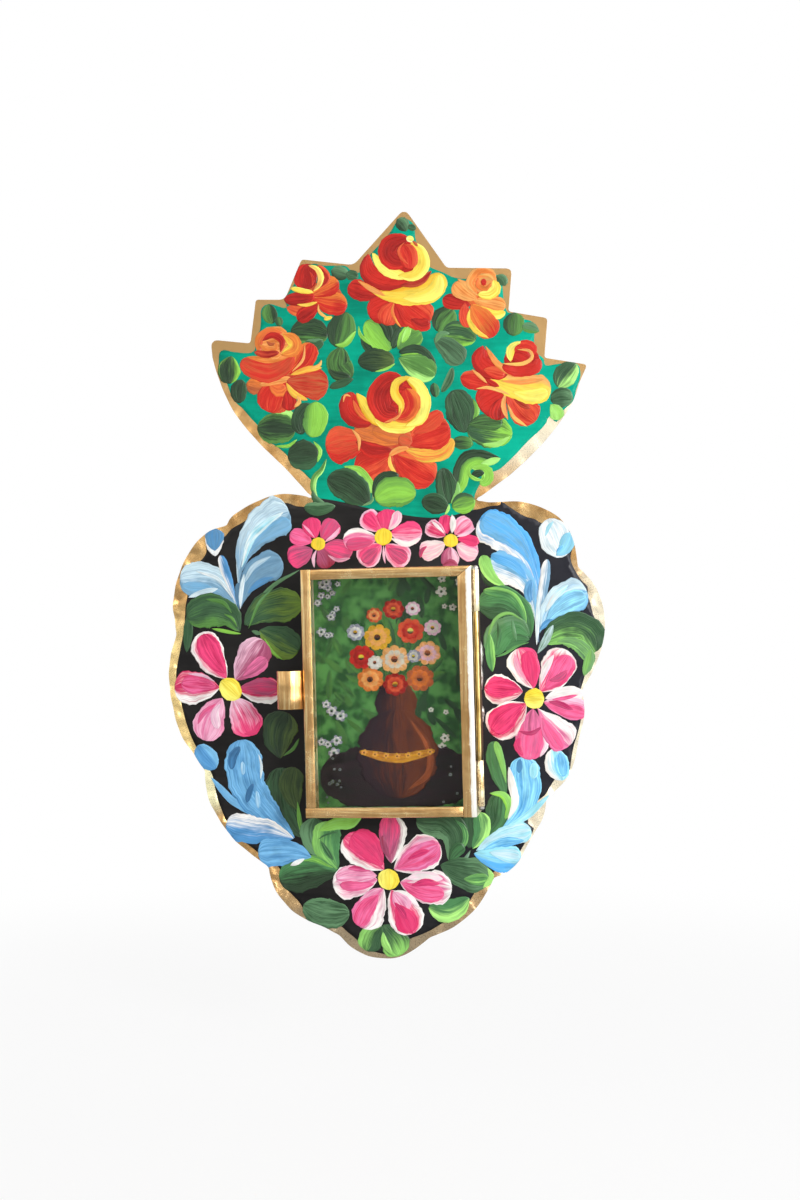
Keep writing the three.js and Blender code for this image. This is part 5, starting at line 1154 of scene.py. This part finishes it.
def front_loop(node):
    """The outer line of a flat node's front, in mm, as a loop of x, z places."""
    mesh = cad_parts[node].data
    places = np.array([vertex.co for vertex in mesh.vertices]) / MM
    unique, index = np.unique(np.round(places, 3), axis=0, return_inverse=True)
    index = index.reshape(-1)
    mesh.calc_loop_triangles()
    sides = set()
    for triangle in mesh.loop_triangles:
        if triangle.normal.y < -0.5:
            a, b, c = (int(index[vertex]) for vertex in triangle.vertices)
            sides |= {(a, b), (b, c), (c, a)}
    after = {a: b for a, b in sides if (b, a) not in sides}
    first = min(after)
    loop = [first]
    while after[loop[-1]] != first:
        loop.append(after[loop[-1]])
    return unique[loop][:, [0, 2]]


def smooth_loop(corners, step, straight=math.inf):
    """A closed line through corners, rounded along its short sides and straight along its long ones."""
    corners = np.asarray(corners, float).reshape(-1, 2)
    ahead = np.roll(corners, -1, 0) - np.roll(corners, 1, 0)
    ahead /= np.maximum(np.linalg.norm(ahead, axis=1), 1e-9)[:, None]
    line = []
    for number, start in enumerate(corners):
        end = corners[(number + 1) % len(corners)]
        length = np.linalg.norm(end - start)
        pieces = max(1, round(length / step))
        for part in range(pieces):
            t = part / pieces
            if length > straight:
                line.append(start + (end - start) * t)
                continue
            out, into = ahead[number] * length, ahead[(number + 1) % len(corners)] * length
            line.append(start * (2 * t ** 3 - 3 * t * t + 1) + out * (t ** 3 - 2 * t * t + t)
                        + end * (3 * t * t - 2 * t ** 3) + into * (t ** 3 - t * t))
    return np.array(line)


def inside(places, loop):
    """Which places lie inside a closed line."""
    x, z = places[:, 0], places[:, 1]
    within = np.zeros(len(places), bool)
    for (ax, az), (bx, bz) in zip(loop, np.roll(loop, -1, 0)):
        if az == bz:
            continue
        crosses = (az > z) != (bz > z)
        within ^= crosses & (x < (bx - ax) * (z - az) / (bz - az) + ax)
    return within


def far_from(places, line, gap):
    """Which places lie at least gap from every point of a line."""
    kept = np.ones(len(places), bool)
    for start in range(0, len(places), 2000):
        block = places[start:start + 2000]
        reach = np.linalg.norm(block[:, None, :] - line[None, :, :], axis=2).min(1)
        kept[start:start + 2000] = reach >= gap
    return kept


def closed_layer(front, back, triangles):
    """A solid between two like nets of triangles: its places, its faces at the front and round the rim,
    those at the back, and which places of the front lie on the rim."""
    count = len(front)
    sides = set()
    for a, b, c in triangles:
        sides |= {(a, b), (b, c), (c, a)}
    rim = [(a, b) for a, b in sides if (b, a) not in sides]
    faces = [tuple(triangle) for triangle in triangles]
    faces += [(b, a, a + count, b + count) for a, b in rim]
    backs = [(c + count, b + count, a + count) for a, b, c in triangles]
    return np.vstack([front, back]), faces, backs, {a for a, b in rim}


def only_used(places, triangles):
    """The places that triangles use, and the triangles counted anew."""
    used = sorted({corner for triangle in triangles for corner in triangle})
    number = {old: new for new, old in enumerate(used)}
    return places[used], [tuple(number[corner] for corner in triangle) for triangle in triangles]


def struck(surface, x, z):
    """Where a straight look from 60 mm in front of the wall meets a surface, or None."""
    return surface.ray_cast(Vector((x, -60, z)), Vector((0, 1, 0)))[0]


def plate_net(edge, black, teal):
    """A flat net over the plate, with sides along its edge and along the edges of both grounds."""
    lines = [edge, black, teal]
    low, high = edge.min(0), edge.max(0)
    dice = np.random.default_rng(4)
    across = np.arange(low[0], high[0], FIELD_STEP)
    up = np.arange(low[1], high[1], ROW_STEP)
    field = np.array([(x + (row % 2) * FIELD_STEP / 2, z) for row, z in enumerate(up) for x in across])
    field += dice.uniform(-FIELD_STRAY, FIELD_STRAY, field.shape)
    field = field[inside(field, edge)]
    field = field[far_from(field, np.vstack(lines), FIELD_GAP)]
    sides, start = [], 0
    for line in lines:
        sides += [(start + k, start + (k + 1) % len(line)) for k in range(len(line))]
        start += len(line)
    corners = [Vector(corner) for corner in np.vstack(lines + [field]).tolist()]
    made = geometry.delaunay_2d_cdt(corners, sides, [], 0, 1e-4)
    flat = np.array([tuple(place) for place in made[0]])
    triangles = np.array([tuple(face) for face in made[2]])
    triangles = triangles[inside(flat[triangles].mean(1), edge)]
    first, second = (flat[triangles[:, corner]] - flat[triangles[:, 0]] for corner in (1, 2))
    turned = first[:, 0] * second[:, 1] - first[:, 1] * second[:, 0] < 0
    triangles[turned] = triangles[turned][:, ::-1]
    return flat, triangles


def hammered_depth(flat):
    """How far back the front of the frame's plate lies at some places, evened out over its small facets."""
    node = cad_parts["heart_plate"].data
    node.calc_loop_triangles()
    front = BVHTree.FromPolygons(
        [vertex.co / MM for vertex in node.vertices],
        [tuple(triangle.vertices) for triangle in node.loop_triangles if triangle.normal.y < -0.5])
    turns = [k * math.pi / 3 for k in range(6)]
    ring = [(0.0, 0.0)] + [(SMOOTHING * math.cos(turn), SMOOTHING * math.sin(turn)) for turn in turns]
    depth = []
    for x, z in flat:
        found = [struck(front, x + dx, z + dz) for dx, dz in ring]
        found = [hit.y for hit in found if hit is not None]
        if not found:
            found = [front.find_nearest(Vector((x, -SHEET, z)))[0].y]
        depth.append(sum(found) / len(found))
    return np.array(depth)


def dressed_plate():
    """The hammered plate and the two painted grounds on it, all cut from one fine net; returns its front."""
    cut = front_loop("heart_plate")
    edge = np.clip(smooth_loop(cut, EDGE_STEP, STRAIGHT), cut.min(0), cut.max(0))
    black, teal = smooth_loop(BLACK_EDGE, GROUND_STEP), smooth_loop(TEAL_EDGE, GROUND_STEP)
    flat, triangles = plate_net(edge, black, teal)
    front = np.column_stack([flat[:, 0], hammered_depth(flat), flat[:, 1]])
    places, net = only_used(front, triangles)
    solid, faces, backs, _ = closed_layer(places, places + np.array([0, SHEET, 0]), net)
    plate = piece("dressed_heart_plate", solid, faces + backs, ["plate_tin", "bare_tin"],
                  second_from=len(faces))
    plate.data.set_sharp_from_angle(angle=SHARP)
    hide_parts("heart_plate")
    middles = flat[triangles].mean(1)
    for name, line, coat in (("teal_ground", teal, GROUND_COAT), ("black_ground", black, BLACK_COAT)):
        places, net = only_used(front, triangles[inside(middles, line)])
        top, bottom = places - np.array([0, coat, 0]), places + np.array([0, SUNK, 0])
        solid, faces, backs, rim = closed_layer(top, bottom, net)
        for corner in rim:
            solid[corner, 1] += coat * 0.15
        piece(name, solid, faces + backs, [name])
    return BVHTree.FromPolygons(front.tolist(), triangles.tolist())


def stroke_line(points):
    """The middle line of a stroke: closely spaced places, and how far along each lies."""
    places = np.array(points, float).reshape(-1, 2)
    places = np.vstack([2 * places[0] - places[1], places, 2 * places[-1] - places[-2]])
    line = []
    for a, b, c, d in zip(places[:-3], places[1:-2], places[2:-1], places[3:]):
        for t in np.linspace(0, 1, 14, endpoint=False):
            line.append(0.5 * (2 * b + (c - a) * t + (2 * a - 5 * b + 4 * c - d) * t * t
                               + (3 * b - a - 3 * c + d) * t ** 3))
    line = np.array(line + [places[-2]])
    gaps = np.linalg.norm(np.diff(line, axis=0), axis=1)
    return line, np.concatenate([[0], np.cumsum(gaps)])


def stroke_net(form, width, points, dice):
    """The flat net of one stroke: its places, how far along and across they lie, and its length."""
    fullest, start_blunt, end_blunt = FORMS[form]
    line, gone = stroke_line(points)
    length = gone[-1]
    rows = max(7, round(length / STROKE_STEP))
    even = np.linspace(0, 1, rows)
    along = 0.004 + 0.992 * (0.6 * even + 0.4 * (0.5 - 0.5 * np.cos(np.pi * even)))
    gone_at = along * length
    inner = max(3, round(width / STROKE_GAUGE))
    across = np.concatenate([[-1], np.linspace(-SHOULDER, SHOULDER, inner + 2), [1]])
    middle = np.column_stack([np.interp(gone_at, gone, line[:, k]) for k in (0, 1)])
    ahead = np.gradient(middle, gone_at, axis=0)
    ahead /= np.maximum(np.linalg.norm(ahead, axis=1), 1e-9)[:, None]
    beside = np.column_stack([-ahead[:, 1], ahead[:, 0]])
    filled = np.where(along < fullest, along / fullest, (1 - along) / (1 - fullest))
    half = width / 2 * (1 - (1 - filled) ** 2) ** np.where(along < fullest, start_blunt, end_blunt)
    half = np.maximum(half, THINNEST_HALF)
    phases = [dice.uniform(0, 6.28) for _ in range(4)]
    left = 0.045 * np.sin(gone_at * 0.9 + phases[0]) + 0.03 * np.sin(gone_at * 2.3 + phases[1])
    right = 0.045 * np.sin(gone_at * 0.8 + phases[2]) + 0.03 * np.sin(gone_at * 2.6 + phases[3])
    reach = np.where(across[None, :] > 0, (half * (1 + left))[:, None], (half * (1 + right))[:, None])
    # On the inside of a bend the stroke stays narrower than the bend, so that it can't fold over itself
    turn = np.gradient(np.unwrap(np.arctan2(ahead[:, 1], ahead[:, 0])), gone_at)
    room = np.maximum(0.9 / np.maximum(np.abs(turn), 1e-6), 0.3)
    bends_in = np.sign(turn)[:, None] * across[None, :] > 0
    reach = np.where(bends_in, np.minimum(reach, room[:, None]), reach)
    off = across[None, :] * reach
    return middle[:, None, :] + beside[:, None, :] * off[..., None], along, across, length


def slab_faces(rows, columns):
    """The faces of a closed slab over a net, whose top's places come first and then its underside's."""
    count = rows * columns
    faces = []
    for row in range(rows - 1):
        for column in range(columns - 1):
            a = row * columns + column
            faces.append((a, a + columns, a + columns + 1, a + 1))
            faces.append((a + count + 1, a + columns + count + 1, a + columns + count, a + count))
    ring = list(range(columns))
    ring += [row * columns + columns - 1 for row in range(1, rows)]
    ring += [(rows - 1) * columns + k for k in range(columns - 2, -1, -1)]
    ring += [row * columns for row in range(rows - 2, 0, -1)]
    for a, b in zip(ring, ring[1:] + ring[:1]):
        faces.append((a, b, b + count, a + count))
    return faces


class Coat:
    """The paint that lies on a face so far: its height in mm over a grid of places."""

    CELL = 0.5  # mm

    def __init__(self, low, high, start, thickness, lay):
        self.low = np.array(low, float)
        size = ((np.array(high) - self.low) / self.CELL).astype(int) + 1
        self.height = np.full(size, start, float)
        self.thickness = thickness
        self.lay = lay
        self.count = 0

    def under(self, places):
        """How high the paint lies under some places, spread by 1 mm so that nothing shows through."""
        cells = (places - self.low) / self.CELL
        first = np.maximum(np.floor(cells.min((0, 1))).astype(int) - 4, 0)
        last = np.ceil(cells.max((0, 1))).astype(int) + 5
        window = self.height[first[0]:last[0], first[1]:last[1]]
        for axis in (0, 1):
            window = np.max([np.roll(window, shift, axis) for shift in range(-2, 3)], axis=0)
        for axis in (0, 1):
            window = (np.roll(window, 1, axis) + window * 2 + np.roll(window, -1, axis)) / 4
        inner = np.clip(cells - first, 0, np.array(window.shape) - 1.001)
        cell = inner.astype(int)
        part = inner - cell
        i, j, s, t = cell[..., 0], cell[..., 1], part[..., 0], part[..., 1]
        return (window[i, j] * (1 - s) * (1 - t) + window[i + 1, j] * s * (1 - t)
                + window[i, j + 1] * (1 - s) * t + window[i + 1, j + 1] * s * t)

    def brush(self, form, load, first, second, width, *points):
        """Lays one stroke: its places, faces and readings."""
        self.count += 1
        dice = random.Random(self.count * 7 + len(points))
        places, along, across, length = stroke_net(form, width, points, dice)
        rows, columns = len(along), len(across)
        full = np.where(np.abs(across) > SHOULDER, RIM_COAT, 1.0)[None, :] * np.ones((rows, 1))
        full[[0, -1]] *= RIM_COAT
        dome = DOME * self.thickness * (1 - across[None, :] ** 2) * full
        top = self.under(places) + self.thickness * full + dome
        self.settle(places, top)
        base = [self.lay(x, z) for x, z in places.reshape(-1, 2)]
        upper = [(x, y - height, z) for (x, y, z), height in zip(base, top.reshape(-1))]
        lower = [(x, y + SUNK, z) for x, y, z in base]
        loads = [LOADS[load](here, off) for here in along for off in across]
        count = rows * columns
        readings = {
            "across": np.tile(across * width / 2, 2 * rows),
            "along": np.tile(np.repeat(along * length, columns), 2),
            "seed": np.full(2 * count, dice.random()),
            "load": np.tile(loads, 2),
            "first": np.tile(PAINTS[first], (2 * count, 1)),
            "second": np.tile(PAINTS[second], (2 * count, 1)),
        }
        return upper + lower, slab_faces(rows, columns), readings

    def settle(self, places, top):
        """Adds a stroke to the paint that lies there."""
        fine_rows = np.linspace(0, places.shape[0] - 1, places.shape[0] * 3)
        fine_columns = np.linspace(0, places.shape[1] - 1, places.shape[1] * 3)
        whole = np.dstack([places, top])
        i = np.minimum(fine_rows.astype(int), places.shape[0] - 2)
        j = np.minimum(fine_columns.astype(int), places.shape[1] - 2)
        s = (fine_rows - i)[:, None, None]
        t = (fine_columns - j)[None, :, None]
        a, b = whole[i][:, j], whole[i + 1][:, j]
        c, d = whole[i][:, j + 1], whole[i + 1][:, j + 1]
        fine = ((a * (1 - s) + b * s) * (1 - t) + (c * (1 - s) + d * s) * t).reshape(-1, 3)
        cells = np.round((fine[:, :2] - self.low) / self.CELL).astype(int)
        cells = np.clip(cells, 0, np.array(self.height.shape) - 1)
        np.maximum.at(self.height, (cells[:, 0], cells[:, 1]), fine[:, 2])

    def paint(self, name, finish_of, strokes):
        """A group of strokes as one piece."""
        places, faces, readings = [], [], {}
        for stroke in strokes:
            more, shape, carried = self.brush(*stroke)
            start = len(places)
            places += more
            faces += [tuple(start + corner for corner in face) for face in shape]
            for reading, values in carried.items():
                readings.setdefault(reading, []).append(values)
        readings = {reading: np.concatenate(values) for reading, values in readings.items()}
        return piece(name, places, faces, [finish_of], readings=readings)


def painted_heart(front):
    """All the brush strokes on the plate, in the order in which they were laid."""
    def lay(x, z):
        hit = struck(front, x, z)
        return tuple(front.find_nearest(Vector((x, -0.8, z)))[0] if hit is None else hit)
    coat = Coat((-92, -110), (92, 182), BLACK_COAT, COAT, lay)
    for (name, finish_of), strokes in PAINTING.items():
        coat.paint(name, finish_of, strokes)


def printed_picture():
    """The print on the card, in thin flat ink that ends at the card's edges."""
    def lay(x, z):
        x = max(-CARD_HALF_WIDTH, min(CARD_HALF_WIDTH, x))
        z = max(-CARD_HALF_HEIGHT, min(CARD_HALF_HEIGHT, z))
        return (x * math.cos(BOX_TILT) - z * math.sin(BOX_TILT), CARD_FRONT,
                x * math.sin(BOX_TILT) + z * math.cos(BOX_TILT))
    coat = Coat((-36, -50), (36, 50), 0.0, PRINT_COAT, lay)
    coat.paint("card_print", "print_ink", vase_print())


# Box and door

# The finish of each node of the frame that stays as it is
FRAME_FINISHES = {
    "picture_card": "card_paper",
    "glass_pane": "window_pane",
    "hinge_pin": "drawn_wire",
    "hanging_loop": "drawn_wire",
    "hanger_solder_left": "soft_solder",
    "hanger_solder_right": "soft_solder",
    "solder_bead_right_upper": "soft_solder",
    "solder_bead_right_lower": "soft_solder",
    "solder_bead_left_upper": "soft_solder",
    "solder_bead_left_lower": "soft_solder",
}

# The body, the finish and the slot of each node that is worked over, and which of them keeps still
WORKED = {
    "box_tray": ("box", "box_tin", "painted_tin"),
    "box_knuckle_upper": ("box", "hinge_tin", "gold_tin"),
    "box_knuckle_lower": ("box", "hinge_tin", "gold_tin"),
    "door_channel_left": ("door", "upright_tin", "gold_tin"),
    "door_channel_top": ("door", "level_tin", "gold_tin"),
    "door_channel_right": ("door", "highlit_bend_tin", "gold_tin"),
    "door_channel_bottom": ("door", "level_tin", "gold_tin"),
    "door_knuckle": ("door", "barrel_tin", "gold_tin"),
    "pull_tab": ("door", "upright_tin", "gold_tin"),
}
STILL = ("pull_tab",)  # it stands furthest forward, at the front of the part's depth


def worked_over(node, body, finish_of):
    """A copy of a node with broken edges and the slight sway of hand-folded tin, which takes its place."""
    made = bmesh.new()
    made.from_mesh(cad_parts[node].data)
    bmesh.ops.remove_doubles(made, verts=made.verts, dist=0.00001)
    bmesh.ops.dissolve_limit(made, angle_limit=math.radians(0.5), verts=made.verts, edges=made.edges)
    low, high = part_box(node)
    for axis in range(3):
        normal = Vector([1.0 if k == axis else 0.0 for k in range(3)])
        for number in range(1, int((high[axis] - low[axis]) / (CUT * MM))):
            middle = low + normal * number * CUT * MM
            everything = made.verts[:] + made.edges[:] + made.faces[:]
            bmesh.ops.bisect_plane(made, geom=everything, dist=1e-7, plane_co=middle, plane_no=normal)
    sharp = [side for side in made.edges if len(side.link_faces) == 2
             and side.calc_face_angle(0) > FOLD]
    bmesh.ops.bevel(made, geom=sharp, offset=BROKEN_EDGE * MM, segments=2, profile=0.5,
                    affect="EDGES", clamp_overlap=True)
    for vertex in made.verts:
        free = 0 if node in STILL else min(1.0, max(0.0, (-vertex.co.y / MM - SWAY_START) / SWAY_GROWTH))
        vertex.co += noise.noise_vector(vertex.co * 55) * SWAY * MM * free
    mesh = bpy.data.meshes.new("worked_" + node)
    made.to_mesh(mesh)
    made.free()
    mesh.materials.append(FINISHES[finish_of])
    mesh.polygons.foreach_set("use_smooth", [True] * len(mesh.polygons))
    mesh.set_sharp_from_angle(angle=SHARP)
    copy = placed("worked_" + node, mesh)
    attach(copy, body)
    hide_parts(node)


def dress_frame():
    """Works over the folded pieces, and gives the nodes that stay their finishes."""
    noise.seed_set(SWAY_SEED)
    for node, (body, finish_of, slot) in WORKED.items():
        worked_over(node, body, finish_of)
    for node, finish_of in FRAME_FINISHES.items():
        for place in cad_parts[node].material_slots:
            place.material = FINISHES[finish_of]


# Studio


def camera():
    """A level camera, as far to the right and as far away as the photograph's."""
    lens = bpy.data.cameras.new("camera")
    lens.lens = LENS
    lens.clip_start, lens.clip_end = 0.01, 20
    stand = placed("camera", lens)
    x, y, z = VIEW_CENTRE
    stand.location = ((x + VIEW_DISTANCE * math.sin(VIEW_TURN)) * MM,
                      (y - VIEW_DISTANCE * math.cos(VIEW_TURN)) * MM, z * MM)
    stand.rotation_euler = (math.pi / 2, 0, VIEW_TURN)
    bpy.context.scene.camera = stand


def daylight():
    """White all round for the camera and the glass, a bright window at the right and a paler room at the
    left for the mirroring tin, and soft light for the paint."""
    world = bpy.data.worlds.new("daylight")
    world.use_nodes = True
    bpy.context.scene.world = world
    nodes = Nodes(world.node_tree, world.node_tree.nodes["Background"])
    camera_ray, glossy_ray, clear_ray = nodes.rays()
    x, y, z = nodes.parts(nodes.add("ShaderNodeTexCoord", output=0))
    window, left = nodes.spread(x, 0.16, 0.34), 1 - nodes.spread(x, -0.52, -0.26)
    sky, behind = nodes.spread(z, 0.1, 0.6), nodes.spread(y, 0.0, 0.4) * (1 - window)
    mirrored = 0.68 + window * 4.4 + left * 0.42 + sky * 0.4 - behind * 0.35
    plain = nodes.reckon("MAXIMUM", camera_ray, clear_ray)
    strength = 0.58 * (1 - glossy_ray) + mirrored * glossy_ray
    nodes.feed(Color=(1, 1, 1, 1), Strength=strength * (1 - plain) + plain)


def lamp(name, turn, rise, distance, size, power):
    """A square lamp, in degrees, m and W, that shines at the heart: turned to the right, and raised."""
    light = bpy.data.lights.new(name, "AREA")
    light.size, light.energy = size, power
    stand = placed(name, light)
    turn, rise = math.radians(turn), math.radians(rise)
    away = Vector((math.sin(turn) * math.cos(rise), -math.cos(turn) * math.cos(rise), math.sin(rise)))
    stand.location = Vector((0, 0, 0.03)) + away * distance
    stand.rotation_euler = away.to_track_quat("Z", "Y").to_euler()


def floor():
    """A pale floor below the heart that keeps its shadow and runs off into white."""
    material, nodes = finish("pale_floor")
    nodes.feed(Base_Color=colour(250, 250, 250), Roughness=0.9)
    camera_ray, glossy_ray, clear_ray = nodes.rays()
    seen = nodes.reckon("MAXIMUM", nodes.reckon("MAXIMUM", camera_ray, clear_ray), glossy_ray)
    strength = 1 - glossy_ray * (1 - clear_ray) * 0.6
    white = nodes.add("ShaderNodeEmission", {}, {"Color": (1, 1, 1, 1), "Strength": strength})
    x, y, _ = nodes.parts(nodes.add("ShaderNodeTexCoord", output=3))
    away = nodes.spread(x * x + y * y, 0.0, 0.25, 0.82, 1.0)
    plain = Tone(nodes, nodes.shader.outputs[0])
    mixed = nodes.add("ShaderNodeMixShader", {}, {0: seen * away, 1: plain, 2: white})
    nodes.plug(nodes.tree.nodes["Material Output"].inputs["Surface"], mixed)
    mesh = bpy.data.meshes.new("pale_floor")
    reach, level = 6, -0.150
    corners = [(-reach, -reach, level), (reach, -reach, level), (reach, reach, level), (-reach, reach, level)]
    mesh.from_pydata(corners, [], [(0, 1, 2, 3)])
    mesh.materials.append(material)
    placed("pale_floor", mesh)


painted_heart(dressed_plate())
printed_picture()
dress_frame()
camera()
daylight()
lamp("window_light", turn=34, rise=10, distance=0.8, size=0.16, power=3.4)
floor()
bpy.context.scene.view_settings.view_transform = "Standard"
